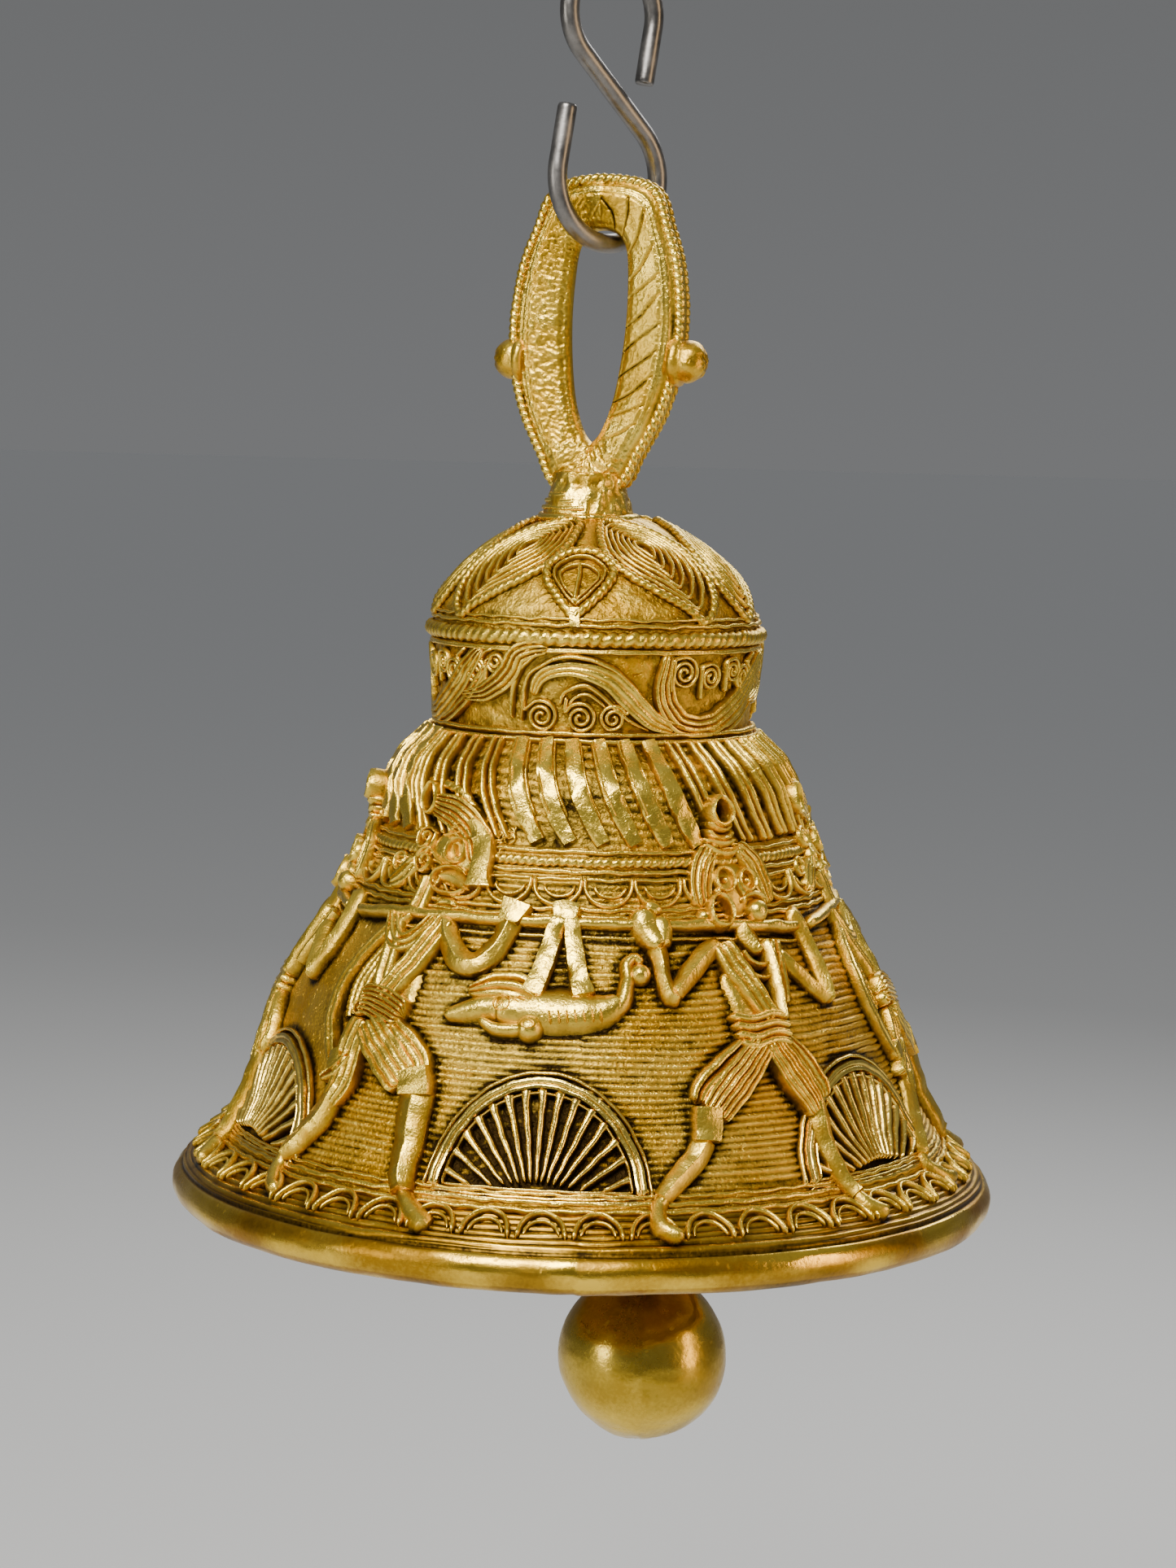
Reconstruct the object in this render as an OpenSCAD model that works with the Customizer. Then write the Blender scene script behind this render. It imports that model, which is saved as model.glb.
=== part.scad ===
// Cast brass temple bell on an S-hook, with a hanging clapper.
// Heights below are measured up from the plane of the rim. The finished part is then moved so that
// its origin is the point inside the top of the hook where a nail or bracket carries it.
// Relief is laid out on the shell with (azimuth in degrees, height) pairs: azimuth 0 faces -Y.

/* [Bell shell] */
// Outer radius of the rim bead
rim_r = 80.4; // [60:0.1:100]
// Radius of the round bead that stiffens the rim
bead_r = 5.2; // [4:0.1:6]
// Height of the lip, from the rim plane to the foot of the body
lip_h = 14; // [12.5:0.5:17]
// Radius of the body where it leaves the lip
flare_r = 69.5; // [60:0.5:72]
// Height of the flaring body above the lip
body_h = 60; // [50:1:80]
// Radius at the top of the body
waist_r = 41; // [36:0.5:46]
// Height of the rounded shoulder
shoulder_h = 20; // [16:1:26]
// Largest radius of the shoulder
shoulder_r = 39.6; // [36:0.2:44]
// Height of the neck drum
neck_h = 19; // [15:1:26]
// Radius at the foot of the neck drum
neck_r = 30.2; // [28:0.2:33]
// Radius at the edge of the dome
dome_r = 32.6; // [30:0.2:36]
// Height of the dome above its edge
dome_h = 22; // [18:0.5:28]
// Thickness of the cast wall
wall = 4; // [3:0.25:5]

/* [Relief] */
// How far the relief stands out of the shell
relief = 1.6; // [1:0.1:2.4]
// How deep the relief is rooted in the shell
root = 1; // [0.6:0.1:1.5]
// Number of scallops round the lip
lip_scallops = 41; // [30:1:48]
// Number of scallops round the waist
waist_scallops = 26; // [18:1:32]
// Number of strips round the shoulder
shoulder_strips = 34; // [20:1:40]
// Thickness of the carrying poles
pole_d = 1.6; // [1:0.1:2.4]

/* [Handle] */
// Height of the handle loop above its foot
handle_h = 61; // [50:1:75]
// Width of the handle loop
handle_w = 35.6; // [32:0.5:42]
// Depth of the loop at its outer edge
handle_depth = 8; // [6:0.5:10]
// Turn of the handle about the bell's axis
handle_turn = -20; // [-30:1:0]
// Radius of the foot under the loop
foot_r = 8; // [7:0.5:10]
// Height of the foot
foot_h = 8; // [6:0.5:10]

/* [Hook] */
// Gauge of the steel wire
hook_wire_d = 3.8; // [3:0.1:4.2]
// Bend radius of the lower loop, at the middle of the wire
hook_low_r = 12.5; // [11:0.25:16]
// Bend radius of the upper loop, at the middle of the wire
hook_up_r = 10.5; // [8:0.25:14]
// Angle round the loops at which the crossing wire leaves them
hook_leave = 48; // [40:1:60]
// Length of the straight tip of the lower loop
hook_low_tip = 11; // [6:0.5:14]
// Length of the straight tip of the upper loop
hook_up_tip = 11; // [6:0.5:14]
// How far the loops close past the half turn, in degrees
tip_close = 10; // [4:1:20]
// Free play between the hook's wire and the handle loop
hook_play = 0.4; // [0.3:0.1:0.8]
// Turn of the hook's plane about the vertical
hook_turn = 40; // [35:1:60]

/* [Clapper] */
// Diameter of the striking ball
ball_d = 34; // [24:1:40]
// Depth of the ball's centre below the rim plane
ball_drop = 31; // [24:1:40]
// Diameter of the clapper rod
rod_d = 5; // [4:0.25:6]
// Sideways place of the staple under the crown
staple_x = 13; // [0:0.5:14]
// Gauge of the staple, the link and the eye
link_wire_d = 3; // [2:0.1:3.4]
// Bend radius of the staple and of the clapper eye
staple_r = 5; // [4.5:0.25:6]
// Bend radius of the closed link
link_r = 7; // [6.5:0.25:9]
// Free play between links that hang in each other
play = 0.1; // [0.05:0.05:0.3]
// Depth of the rod in the ball
rod_seat = 12; // [8:1:14]

/* [Hidden] */
$fn = 96;

body_top = lip_h + body_h;
neck_foot = body_top + shoulder_h;
dome_edge = neck_foot + neck_h;
dome_top = dome_edge + dome_h;
foot_z = dome_top - 1.5;
loop_z = foot_z + 4.5;

// Share of the body's height against share of its flare: a gently swelling skirt
SKIRT = [[0, 1], [0.13, 0.845], [0.29, 0.72], [0.45, 0.6], [0.58, 0.465], [0.68, 0.325],
    [0.77, 0.205], [0.87, 0.1], [1, 0]];
// Share of the shoulder's height against its radius, as a rounded cushion under the neck
SHOULDER = [[0, waist_r - 0.6], [0.2, shoulder_r], [0.5, shoulder_r - 1], [0.7, shoulder_r - 3],
    [0.85, (shoulder_r + neck_r) / 2 - 1.6], [1, neck_r]];
NECK = [[0, neck_r], [0.4, neck_r + 0.4], [0.75, neck_r + 1.3], [1, dome_r]];

skirt_outline = [for (p = SKIRT) [waist_r + (flare_r - waist_r) * p[1], lip_h + body_h * p[0]]];
shoulder_outline = [for (p = SHOULDER) [p[1], body_top + shoulder_h * p[0]]];
neck_outline = [for (p = NECK) [p[1], neck_foot + neck_h * p[0]]];
dome_outline = [for (a = [0:9:81]) [dome_r * cos(a), dome_edge + dome_h * sin(a)]];

// Where the lip's slope runs into the bead
bead_top = [rim_r - bead_r + bead_r * cos(60), bead_r + bead_r * sin(60)];

shell_table = concat([[bead_top[1], bead_top[0]]],
    [for (p = skirt_outline) [p[1], p[0]]],
    [for (p = shoulder_outline) if (p[1] > body_top) [p[1], p[0]]],
    [for (p = neck_outline) if (p[1] > neck_foot) [p[1], p[0]]],
    [for (p = dome_outline) if (p[1] > dome_edge) [p[1], p[0]]]);
function shell_r(h) = lookup(h, shell_table);
// Height of the crown's underside above the dome's edge, at a distance from the axis
function crown_inside(r) = (dome_h - wall) * sqrt(1 - pow(r / (dome_r - wall), 2));
function on_shell(az, h, out = 0) = let (r = shell_r(h) + out) [r * sin(az), -r * cos(az), h];
function unit(v) = v / norm(v);
// Outward normal of the shell
function shell_normal(az, h) = let (slope = (shell_r(h + 0.5) - shell_r(h - 0.5)))
    unit([sin(az), -cos(az), -slope]);

// Stations down the right half of the handle loop: share of the half width and of the height,
// first of the hole and then of the outside
LOOP = [[0, 0.847, 0, 1], [0.19, 0.83, 0.56, 0.965], [0.3, 0.78, 0.77, 0.83], [0.34, 0.69, 0.9, 0.72],
    [0.35, 0.56, 0.985, 0.57], [0.32, 0.43, 0.98, 0.43], [0.25, 0.3, 0.88, 0.29],
    [0.13, 0.2, 0.68, 0.15], [0, 0.155, 0.46, 0.03]];
// How far the soft ridge along the inside of the loop stands into the hole
ridge = 0.9;

// Hook geometry in its own plane
hook_straight = (hook_low_r + hook_up_r) * cos(hook_leave) / sin(hook_leave);
hook_rise = (hook_low_r + hook_up_r) / sin(hook_leave);
// The loop hangs on the lower bend: its inner ridge rests on the wire
loop_ridge_top = loop_z + handle_h * LOOP[0][1] - ridge;
hook_low_z = loop_ridge_top - hook_play - hook_wire_d / 2 + hook_low_r;
hang_z = hook_low_z + hook_rise + hook_up_r - hook_wire_d / 2;

staple_z = dome_edge + 5;
// How deep the staple's legs are cast into the crown
staple_root = 2.2;
link_z = staple_z + link_wire_d + play - link_r;
eye_z = link_z - link_r + link_wire_d + play - staple_r;

module at_rim() { translate([0, 0, -hang_z]) children(); }

// A line of [azimuth, height, width] points with more points put between them
function fill_in(line, steps) = concat(
    [for (i = [0:len(line) - 2]) for (k = [0:steps - 1]) line[i] + (line[i + 1] - line[i]) * k / steps],
    [line[len(line) - 1]]);

// One flat strip of wax laid along such a line on the shell
module strip(line, steps = 2, out = relief, low = root) {
    path = fill_in(line, steps);
    last = len(path) - 1;
    rings = [for (i = [0:last]) let (
        before = path[max(i - 1, 0)], after = path[min(i + 1, last)],
        along = unit(on_shell(after[0], after[1]) - on_shell(before[0], before[1])),
        up = shell_normal(path[i][0], path[i][1]),
        side = unit(cross(up, along)) * path[i][2] / 2,
        mid = on_shell(path[i][0], path[i][1]))
        [mid - side - up * low, mid + side - up * low, mid + side * 0.75 + up * out,
            mid - side * 0.75 + up * out]];
    for (i = [0:last - 1])
        hull() polyhedron(points = concat(rings[i], rings[i + 1]),
            faces = [[0, 1, 2, 3], [7, 6, 5, 4], [0, 4, 5, 1], [1, 5, 6, 2], [2, 6, 7, 3], [3, 7, 4, 0]]);
}

// An arch, ring or spiral on the shell: radii in millimetres from a centre, angles from the right
module arch(az, h, rx, ry, from = 0, to = 180, w = 1.2, n = 6, shrink = 1, out = relief) {
    mm_per_degree = shell_r(h) * PI / 180;
    strip([for (i = [0:n]) let (a = from + (to - from) * i / n, s = 1 + (shrink - 1) * i / n)
        [az + rx * s * cos(a) / mm_per_degree, h + ry * s * sin(a), w]], 1, out);
}

// A round boss rooted in the shell
module boss(az, h, r, out = 0.6) {
    translate(on_shell(az, h, out - r * 0.45)) sphere(r, $fn = 12);
}

module stage(outline, low_cap = 0) {
    rotate_extrude() polygon(concat(outline,
        [for (i = [len(outline) - 1:-1:0]) [outline[i][0] - wall, outline[i][1]]]));
}

// One loop of the hook: it leaves the crossing wire at hook_leave, goes round over 180 degrees and
// a little further, and ends in a straight tip. Small cores run the wire's pieces into one another.
module hook_loop(bend_r, tip) {
    wire_r = hook_wire_d / 2;
    rotate([0, 0, hook_leave]) translate([bend_r, 0, 0]) sphere(wire_r * 0.6);
    rotate([0, 0, -180 - tip_close]) {
        translate([bend_r, 0, 0]) sphere(wire_r * 0.6);
        rotate_extrude(angle = 180 + tip_close + hook_leave) translate([bend_r, 0]) circle(wire_r);
        translate([bend_r, 0, 0]) rotate([90, 0, 0]) cylinder(r = wire_r, h = tip);
    }
}

module s_hook() color("dimgray") at_rim() translate([0, 0, hook_low_z]) rotate([0, 0, hook_turn])
    rotate([90, 0, 0]) {
        hook_loop(hook_low_r, hook_low_tip);
        translate([0, hook_rise]) rotate([0, 0, 180]) hook_loop(hook_up_r, hook_up_tip);
        translate([hook_low_r * cos(hook_leave), hook_low_r * sin(hook_leave), 0])
            rotate([0, 0, hook_leave]) rotate([-90, 0, 0])
                cylinder(r = hook_wire_d / 2, h = hook_straight);
    }

module handle_loop() color("goldenrod") at_rim() translate([0, 0, loop_z]) rotate([0, 0, handle_turn]) {
    half = handle_w / 2;
    last = len(LOOP) - 1;
    inner_depth = handle_depth * 0.62;
    around = concat([for (i = [0:last]) [LOOP[i], 1]], [for (i = [last:-1:1]) [LOOP[i], -1]]);
    rings = [for (s = around) let (p = s[0], side = s[1],
        ui = p[0] * half * side, hi = p[1] * handle_h, uo = p[2] * half * side, ho = p[3] * handle_h,
        inward = unit([ui - uo, 0, hi - ho]))
        [[ui, -inner_depth / 2, hi], [uo, -handle_depth / 2, ho] + inward * 1.2, [uo, 0, ho],
            [uo, handle_depth / 2, ho] + inward * 1.2, [ui, inner_depth / 2, hi],
            [ui, 0, hi] + inward * ridge]];
    n = len(rings);
    polyhedron(points = [for (r = rings) for (p = r) p],
        faces = [for (i = [0:n - 1]) for (k = [0:5]) let (j = (i + 1) % n, m = (k + 1) % 6)
            [i * 6 + k, i * 6 + m, j * 6 + m, j * 6 + k]]);
}

module knob(side) {
    at_rim() translate([0, 0, loop_z + handle_h * 0.5]) rotate([0, 0, handle_turn])
        translate([side * (handle_w / 2 - 1.4), 0, 0]) rotate([0, side * 90, 0]) {
            cylinder(r1 = 4.6, r2 = 4, h = 2.4);
            translate([0, 0, 2.4]) intersection() {
                sphere(4);
                translate([0, 0, 2.5]) cube([9, 9, 5], center = true);
            }
        }
}
module handle_knob_left() color("goldenrod") knob(-1);
module handle_knob_right() color("goldenrod") knob(1);

module handle_foot() color("goldenrod") at_rim() translate([0, 0, foot_z]) rotate([0, 0, handle_turn]) {
    cylinder(r1 = foot_r + 1.5, r2 = foot_r - 0.5, h = foot_h / 2);
    translate([0, 0, foot_h / 2]) cylinder(r1 = foot_r - 0.5, r2 = foot_r - 1, h = foot_h / 2);
}

module crown_dome() color("darkgoldenrod") at_rim() rotate_extrude() polygon(concat(
    dome_outline, [[0, dome_top]],
    [for (a = [90:-15:0]) [(dome_r - wall) * cos(a), dome_edge + (dome_h - wall) * sin(a)]]));

module dome_lobes() color("goldenrod") at_rim() for (i = [0:5]) {
    az = -32 + i * 60;
    base = dome_edge + 4;
    strip([[az + 19, dome_edge + 18, 1.6], [az + 12, dome_edge + 13.5, 1.6], [az, dome_edge + 10.5, 1.6],
        [az - 18, dome_edge + 7, 1.6], [az - 25, base, 1.6]], 2);
    strip([[az + 17, dome_edge + 18, 3], [az + 2, dome_edge + 14.5, 4], [az - 19, dome_edge + 9.5, 3]], 2,
        relief * 0.6);
}

module dome_medallions() color("goldenrod") at_rim() for (i = [0:2]) {
    az = -7 + i * 120;
    arch(az, dome_edge + 10.5, 6.8, 3.6, -20, 200, 1.6, 8);
    strip([[az - 11.5, dome_edge + 9.5, 1.6], [az - 1, dome_edge + 3.4, 1.6]]);
    strip([[az + 11.5, dome_edge + 9.5, 1.6], [az + 1, dome_edge + 3.4, 1.6]]);
    strip([[az, dome_edge + 12, 1.2], [az, dome_edge + 6.5, 1.2]]);
}

module dome_rope() color("gold") at_rim() {
    rotate_extrude() translate([dome_r, dome_edge]) circle(1.5);
}

module neck_drum() color("darkgoldenrod") at_rim() stage(neck_outline);

module neck_arches() color("goldenrod") at_rim() for (i = [0:2]) rotate([0, 0, i * 120]) {
    low = neck_foot;
    strip([[-28, low + 3.6, 2], [-25, low + 9, 2], [-17, low + 13.4, 2], [-4, low + 13.6, 2],
        [8, low + 10.4, 2.6], [17, low + 5.6, 3], [27, low + 2.4, 2]], 2);
    strip([[-13, low + 5, 1.2], [-9, low + 8.6, 1.2], [-2, low + 9.4, 1.2], [7, low + 7.4, 1.2],
        [18, low + 3.4, 1.2]], 2);
    strip([[-37, low + 13.6, 2], [-32, low + 8.6, 2], [-38, low + 3.4, 2]], 2);
    strip([[22, low + 13.6, 2], [30, low + 6.4, 2], [48, low + 3.6, 2]], 2);
}

module neck_spirals() color("goldenrod") at_rim() for (i = [0:2]) rotate([0, 0, i * 120]) {
    low = neck_foot;
    for (p = [[-19, 3.6], [-7, 3.4], [4.5, 3.6], [-46, 11], [-61, 11], [26.5, 12], [38, 10.8]])
        arch(p[0], low + p[1], 2.2, 2.2, -60, 300, 1, 6, 0.55);
}

module shoulder_shell() color("darkgoldenrod") at_rim() stage(shoulder_outline);

module shoulder_strips() color("gold") at_rim() for (i = [0:shoulder_strips - 1]) {
    az = i * 360 / shoulder_strips;
    strip([[az - 5, neck_foot - 1.8, 2], [az - 2.5, neck_foot - 7, 2.6], [az + 0.5, body_top + 7, 3],
        [az + 4.5, body_top + 1, 2.4]], 1);
}

module waist_rope() color("gold") at_rim() {
    for (p = [[1, 0.8], [2.4, 1.2], [3.8, 0.8]])
        rotate_extrude() translate([shell_r(body_top - p[0]), body_top - p[0]]) circle(p[1]);
}

module waist_scallops() color("gold") at_rim() for (i = [0:waist_scallops - 1])
    arch((i + 0.5) * 360 / waist_scallops, body_top - 5.6, 4.4, 3.4, 180, 360, 1, 5);

module bell_body() color("darkgoldenrod") at_rim() stage(skirt_outline);

// The lip flares into a round bead that runs from the top of its curve down to the rim plane
module lip_ring() color("goldenrod") at_rim() rotate_extrude() polygon(concat(
    [[flare_r - wall, lip_h], [flare_r, lip_h]],
    [for (a = [60:-15:-90]) [rim_r - bead_r + bead_r * cos(a), bead_r + bead_r * sin(a)]],
    [[flare_r - wall + 2, 1.4], [flare_r - wall, 4]]));

module lip_scallops() color("gold") at_rim() for (i = [0:lip_scallops - 1])
    arch(i * 360 / lip_scallops, lip_h - 3.6, 4.4, 2.8, 0, 180, 1, 5, 1, relief * 0.7);

pole_z = body_top - 13;
module pole() strip([for (az = [-62:5:53]) [az, pole_z, pole_d]], 1, relief * 0.9);

// Figures are drawn with their feet at 11 and the pole at 61, and stretch with the body
function figure_h(h) = lip_h - 3 + (h - 11) * (pole_z - lip_h + 3) / 50;
module limb(line, steps, out) strip([for (p = line) [p[0], figure_h(p[1]), p[2]]], steps, out);

// A hunter in profile striding to the right, one hand up on the pole, a bow slung behind
module bearer_left() at_rim() {
    limb([[-53, 83, 3], [-45, 80, 4], [-34, 77.5, 5.5], [-29, 75, 6.5], [-27, 69, 4]], 2, relief * 1.4);
    limb([[-51, 74, 7], [-42, 71, 9], [-36, 67.5, 5]], 2, relief * 1.3);
    limb([[-45, 67, 4], [-45, 61, 4]], 1, relief * 1.3);
    limb([[-37, 60.5, 3], [-41, 54, 4], [-45, 47, 4.6]], 2, relief * 1.2);
    limb([[-50, 60, 3], [-47, 53, 3.6], [-45, 47, 4]], 2, relief * 1.2);
    limb([[-37, 60, 2.8], [-29, 53.6, 3.4], [-24, 51.6, 3.6], [-19, 54, 3.4],
        [-17.5, 59, 3], [-16, 63, 4.4]], 2, relief * 1.5);
    limb([[-49, 44, 6], [-35, 44, 6]], 2, relief * 1.4);
    limb([[-52, 57, 2.6], [-57.5, 48, 2.6], [-57, 41, 2.6], [-51, 33, 2.6]], 2, relief * 1.3);
    limb([[-43, 42, 7], [-36, 38, 7.6], [-30.5, 34, 6]], 2, relief * 1.5);
    limb([[-30.5, 34, 6], [-29.8, 29, 4.4], [-28, 21, 3.8], [-26.6, 14, 3.2]], 2, relief * 1.5);
    limb([[-26.6, 14, 3.2], [-21.5, 10.2, 3.6]], 2, relief * 1.3);
    limb([[-46, 42, 5.4], [-47.5, 30, 5.4], [-51, 23, 4.4], [-56, 16, 3.4],
        [-53, 11.6, 3.2]], 2, relief * 1.5);
    boss(-37.5, figure_h(72), 2);
}

// A hunter facing forward, hair dressed in a roll, both hands up on the pole
module bearer_right() at_rim() {
    limb([[35, 83, 4.6], [33, 77, 6], [37, 72, 9]], 2, relief * 1.6);
    limb([[35, 73, 10], [38, 66, 9.6], [38, 62, 5]], 2, relief * 1.5);
    limb([[28, 74, 3], [26, 68, 3], [25, 63.5, 3]], 2, relief * 1.3);
    limb([[43, 73, 4], [47, 68, 4], [49, 63, 3.4]], 2, relief * 1.2);
    limb([[36, 62, 3.4], [36, 57, 4.4]], 1, relief * 1.2);
    limb([[28, 57, 3], [31, 52, 3], [34.5, 46, 3]], 2, relief * 1.4);
    limb([[43, 57, 3], [38.5, 51, 3], [36, 45, 3]], 2, relief * 1.4);
    limb([[28, 56, 3.4], [22, 51.6, 3.4], [16.4, 47, 3]], 2, relief * 1.5);
    limb([[16.4, 47, 3], [16, 53, 3], [14.6, 58, 4.4], [13.6, 62.6, 4.4]], 2, relief * 1.6);
    limb([[43, 56, 3.2], [48, 50, 3], [52, 46, 2.8]], 2, relief * 1.4);
    limb([[52, 46, 2.8], [54, 53, 3], [55.4, 60, 3.4]], 2, relief * 1.4);
    limb([[26.5, 42.6, 6.6], [38.5, 42.6, 6.6]], 2, relief * 1.5);
    limb([[29, 41, 7.6], [23, 33, 8], [20, 28, 6.4]], 2, relief * 1.5);
    limb([[20.4, 27.4, 5.4], [20, 23, 4], [13.5, 18, 3.4], [11.2, 14, 3], [13, 9.6, 3.4]],
        2, relief * 1.5);
    limb([[35.6, 40, 7], [41, 31, 7], [41, 25, 5]], 2, relief * 1.5);
    limb([[41, 25, 5], [41, 15, 3.2], [41, 10, 3.6]], 2, relief * 1.5);
    boss(41.5, figure_h(62.4), 2.6);
    boss(32, figure_h(63.4), 2.4);
}

// The hunted animal, slung by its bound legs
module animal() at_rim() {
    limb([[-5, 62.6, 3.6], [-5, 60, 3.2]], 1, relief * 1.7);
    limb([[-5.4, 60, 2.6], [-10, 48.4, 3]], 2, relief * 1.6);
    limb([[-4.6, 60, 2.6], [-0.6, 48.4, 3]], 2, relief * 1.6);
    limb([[-20, 45.6, 4], [-10, 45.4, 6], [-3, 45, 6.6], [4, 46, 4.6]], 2, relief * 1.5);
    limb([[-26, 44, 2], [-22, 45, 3], [-18, 46, 4.4]], 2, relief * 1.4);
    limb([[-22, 48.6, 2], [-15, 48.8, 3], [-9, 48, 2]], 2, relief * 1.3);
    limb([[4, 46, 3], [7, 50, 2.4], [8.4, 54.4, 2], [9.6, 52.6, 2.6]], 2, relief * 1.3);
    boss(-10, figure_h(43.4), 2.4);
}

// Half-round fan of rays under three arching threads
fan_spacing = 60;
module sun_fan(i) at_rim() rotate([0, 0, -6.8 + i * fan_spacing]) {
    base = lip_h + 1.4;
    arch(0, base, 21, 21, 2, 178, 1.2, 10);
    arch(0, base, 18.6, 18.6, 2, 178, 1.6, 10);
    strip([[-17, base - 0.6, 1.4], [17, base - 0.6, 1.4]], 5);
    for (a = [14:19:166])
        strip([[5 * cos(a), base + 5 * sin(a), 1.4], [13.5 * cos(a), base + 15.5 * sin(a), 1.8]], 2);
}

module pole_front() color("gold") at_rim() pole();
module pole_east() color("gold") at_rim() rotate([0, 0, 120]) pole();
module pole_west() color("gold") at_rim() rotate([0, 0, -120]) pole();
module bearer_left_front() color("gold") bearer_left();
module bearer_left_east() color("gold") rotate([0, 0, 120]) bearer_left();
module bearer_left_west() color("gold") rotate([0, 0, -120]) bearer_left();
module bearer_right_front() color("gold") bearer_right();
module bearer_right_east() color("gold") rotate([0, 0, 120]) bearer_right();
module bearer_right_west() color("gold") rotate([0, 0, -120]) bearer_right();
module animal_front() color("gold") animal();
module animal_east() color("gold") rotate([0, 0, 120]) animal();
module animal_west() color("gold") rotate([0, 0, -120]) animal();
module sun_fan_front() color("khaki") sun_fan(0);
module sun_fan_right_front() color("khaki") sun_fan(1);
module sun_fan_right_back() color("khaki") sun_fan(2);
module sun_fan_back() color("khaki") sun_fan(3);
module sun_fan_left_back() color("khaki") sun_fan(4);
module sun_fan_left_front() color("khaki") sun_fan(5);

// Staple, link and eye lie in planes set square to each other, so the clapper swings both ways
module at_staple() { at_rim() translate([staple_x, 0, 0]) rotate([0, 0, hook_turn]) children(); }

module clapper_staple() color("darkgoldenrod") at_staple() translate([0, 0, staple_z + staple_r]) {
    rotate([90, 0, 90]) rotate([0, 0, 180]) rotate_extrude(angle = 180)
        translate([staple_r, 0]) circle(link_wire_d / 2);
    for (side = [-1, 1]) {
        from_axis = norm([staple_x - side * staple_r * sin(hook_turn), staple_r * cos(hook_turn)]);
        top = dome_edge + crown_inside(from_axis) + staple_root;
        translate([0, side * staple_r, 0])
            cylinder(r = link_wire_d / 2, h = top - staple_z - staple_r);
    }
}

module clapper_link() color("dimgray") at_staple() translate([0, 0, link_z]) rotate([90, 0, 0])
    rotate_extrude() translate([link_r, 0]) circle(link_wire_d / 2);

module clapper_rod() color("dimgray") at_staple() {
    rod_foot = -ball_drop + ball_d / 2 - rod_seat;
    translate([0, 0, eye_z]) rotate([90, 0, 90]) rotate_extrude() translate([staple_r, 0])
        circle(link_wire_d / 2);
    translate([0, 0, rod_foot]) cylinder(r = rod_d / 2, h = eye_z - staple_r - rod_foot);
}

module clapper_ball() color("darkgoldenrod") at_staple() translate([0, 0, -ball_drop]) difference() {
    sphere(ball_d / 2);
    translate([0, 0, ball_d / 2 - rod_seat]) cylinder(r = rod_d / 2 + 0.05, h = rod_seat + 1);
}

s_hook();
handle_loop();
handle_knob_left();
handle_knob_right();
handle_foot();
crown_dome();
dome_lobes();
dome_medallions();
dome_rope();
neck_drum();
neck_arches();
neck_spirals();
shoulder_shell();
shoulder_strips();
waist_rope();
waist_scallops();
bell_body();
lip_ring();
lip_scallops();
pole_front();
bearer_left_front();
bearer_right_front();
animal_front();
pole_east();
bearer_left_east();
bearer_right_east();
animal_east();
pole_west();
bearer_left_west();
bearer_right_west();
animal_west();
sun_fan_front();
sun_fan_right_front();
sun_fan_right_back();
sun_fan_back();
sun_fan_left_back();
sun_fan_left_front();
clapper_staple();
clapper_link();
clapper_rod();
clapper_ball();
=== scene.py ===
import math

import bpy
import numpy as np
from mathutils import Matrix, Vector
from mathutils.kdtree import KDTree


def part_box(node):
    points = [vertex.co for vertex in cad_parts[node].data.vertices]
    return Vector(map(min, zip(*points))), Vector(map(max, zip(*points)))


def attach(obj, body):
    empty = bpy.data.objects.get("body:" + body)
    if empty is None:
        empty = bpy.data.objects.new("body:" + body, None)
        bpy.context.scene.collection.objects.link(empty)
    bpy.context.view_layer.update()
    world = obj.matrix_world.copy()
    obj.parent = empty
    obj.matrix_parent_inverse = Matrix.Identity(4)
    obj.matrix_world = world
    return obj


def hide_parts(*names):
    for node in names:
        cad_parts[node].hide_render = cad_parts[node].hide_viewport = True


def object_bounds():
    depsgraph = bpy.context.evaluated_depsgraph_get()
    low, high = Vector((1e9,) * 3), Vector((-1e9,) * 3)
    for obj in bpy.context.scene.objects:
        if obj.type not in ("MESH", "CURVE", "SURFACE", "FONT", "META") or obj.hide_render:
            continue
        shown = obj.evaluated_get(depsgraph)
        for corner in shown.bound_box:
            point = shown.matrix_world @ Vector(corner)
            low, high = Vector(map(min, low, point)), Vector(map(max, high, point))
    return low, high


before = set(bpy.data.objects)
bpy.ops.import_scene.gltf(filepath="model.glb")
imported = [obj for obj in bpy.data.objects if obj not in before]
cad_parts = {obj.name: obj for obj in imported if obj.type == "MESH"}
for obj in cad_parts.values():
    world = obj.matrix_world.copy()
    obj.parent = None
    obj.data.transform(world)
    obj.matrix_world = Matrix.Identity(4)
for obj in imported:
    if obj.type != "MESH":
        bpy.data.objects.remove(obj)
cad_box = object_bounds()

# ---- Viewpoint -------------------------------------------------------------------------------
# The bell hangs from its hook and is looked at from in front, a little above the rim, at about
# arm's length. Heights in this file are in millimetres above the plane of the rim.
MM = 0.001
RIM_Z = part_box("lip_ring")[0].z
VIEW_DISTANCE = 650.2
VIEW_HEIGHT = 148.4
VIEW_DOWN = 5.81
VIEW_TURN = 0.07
VIEW_LEAN = 1.5


def put_in_scene(name, data):
    made = bpy.data.objects.new(name, data)
    bpy.context.scene.collection.objects.link(made)
    return made


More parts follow.
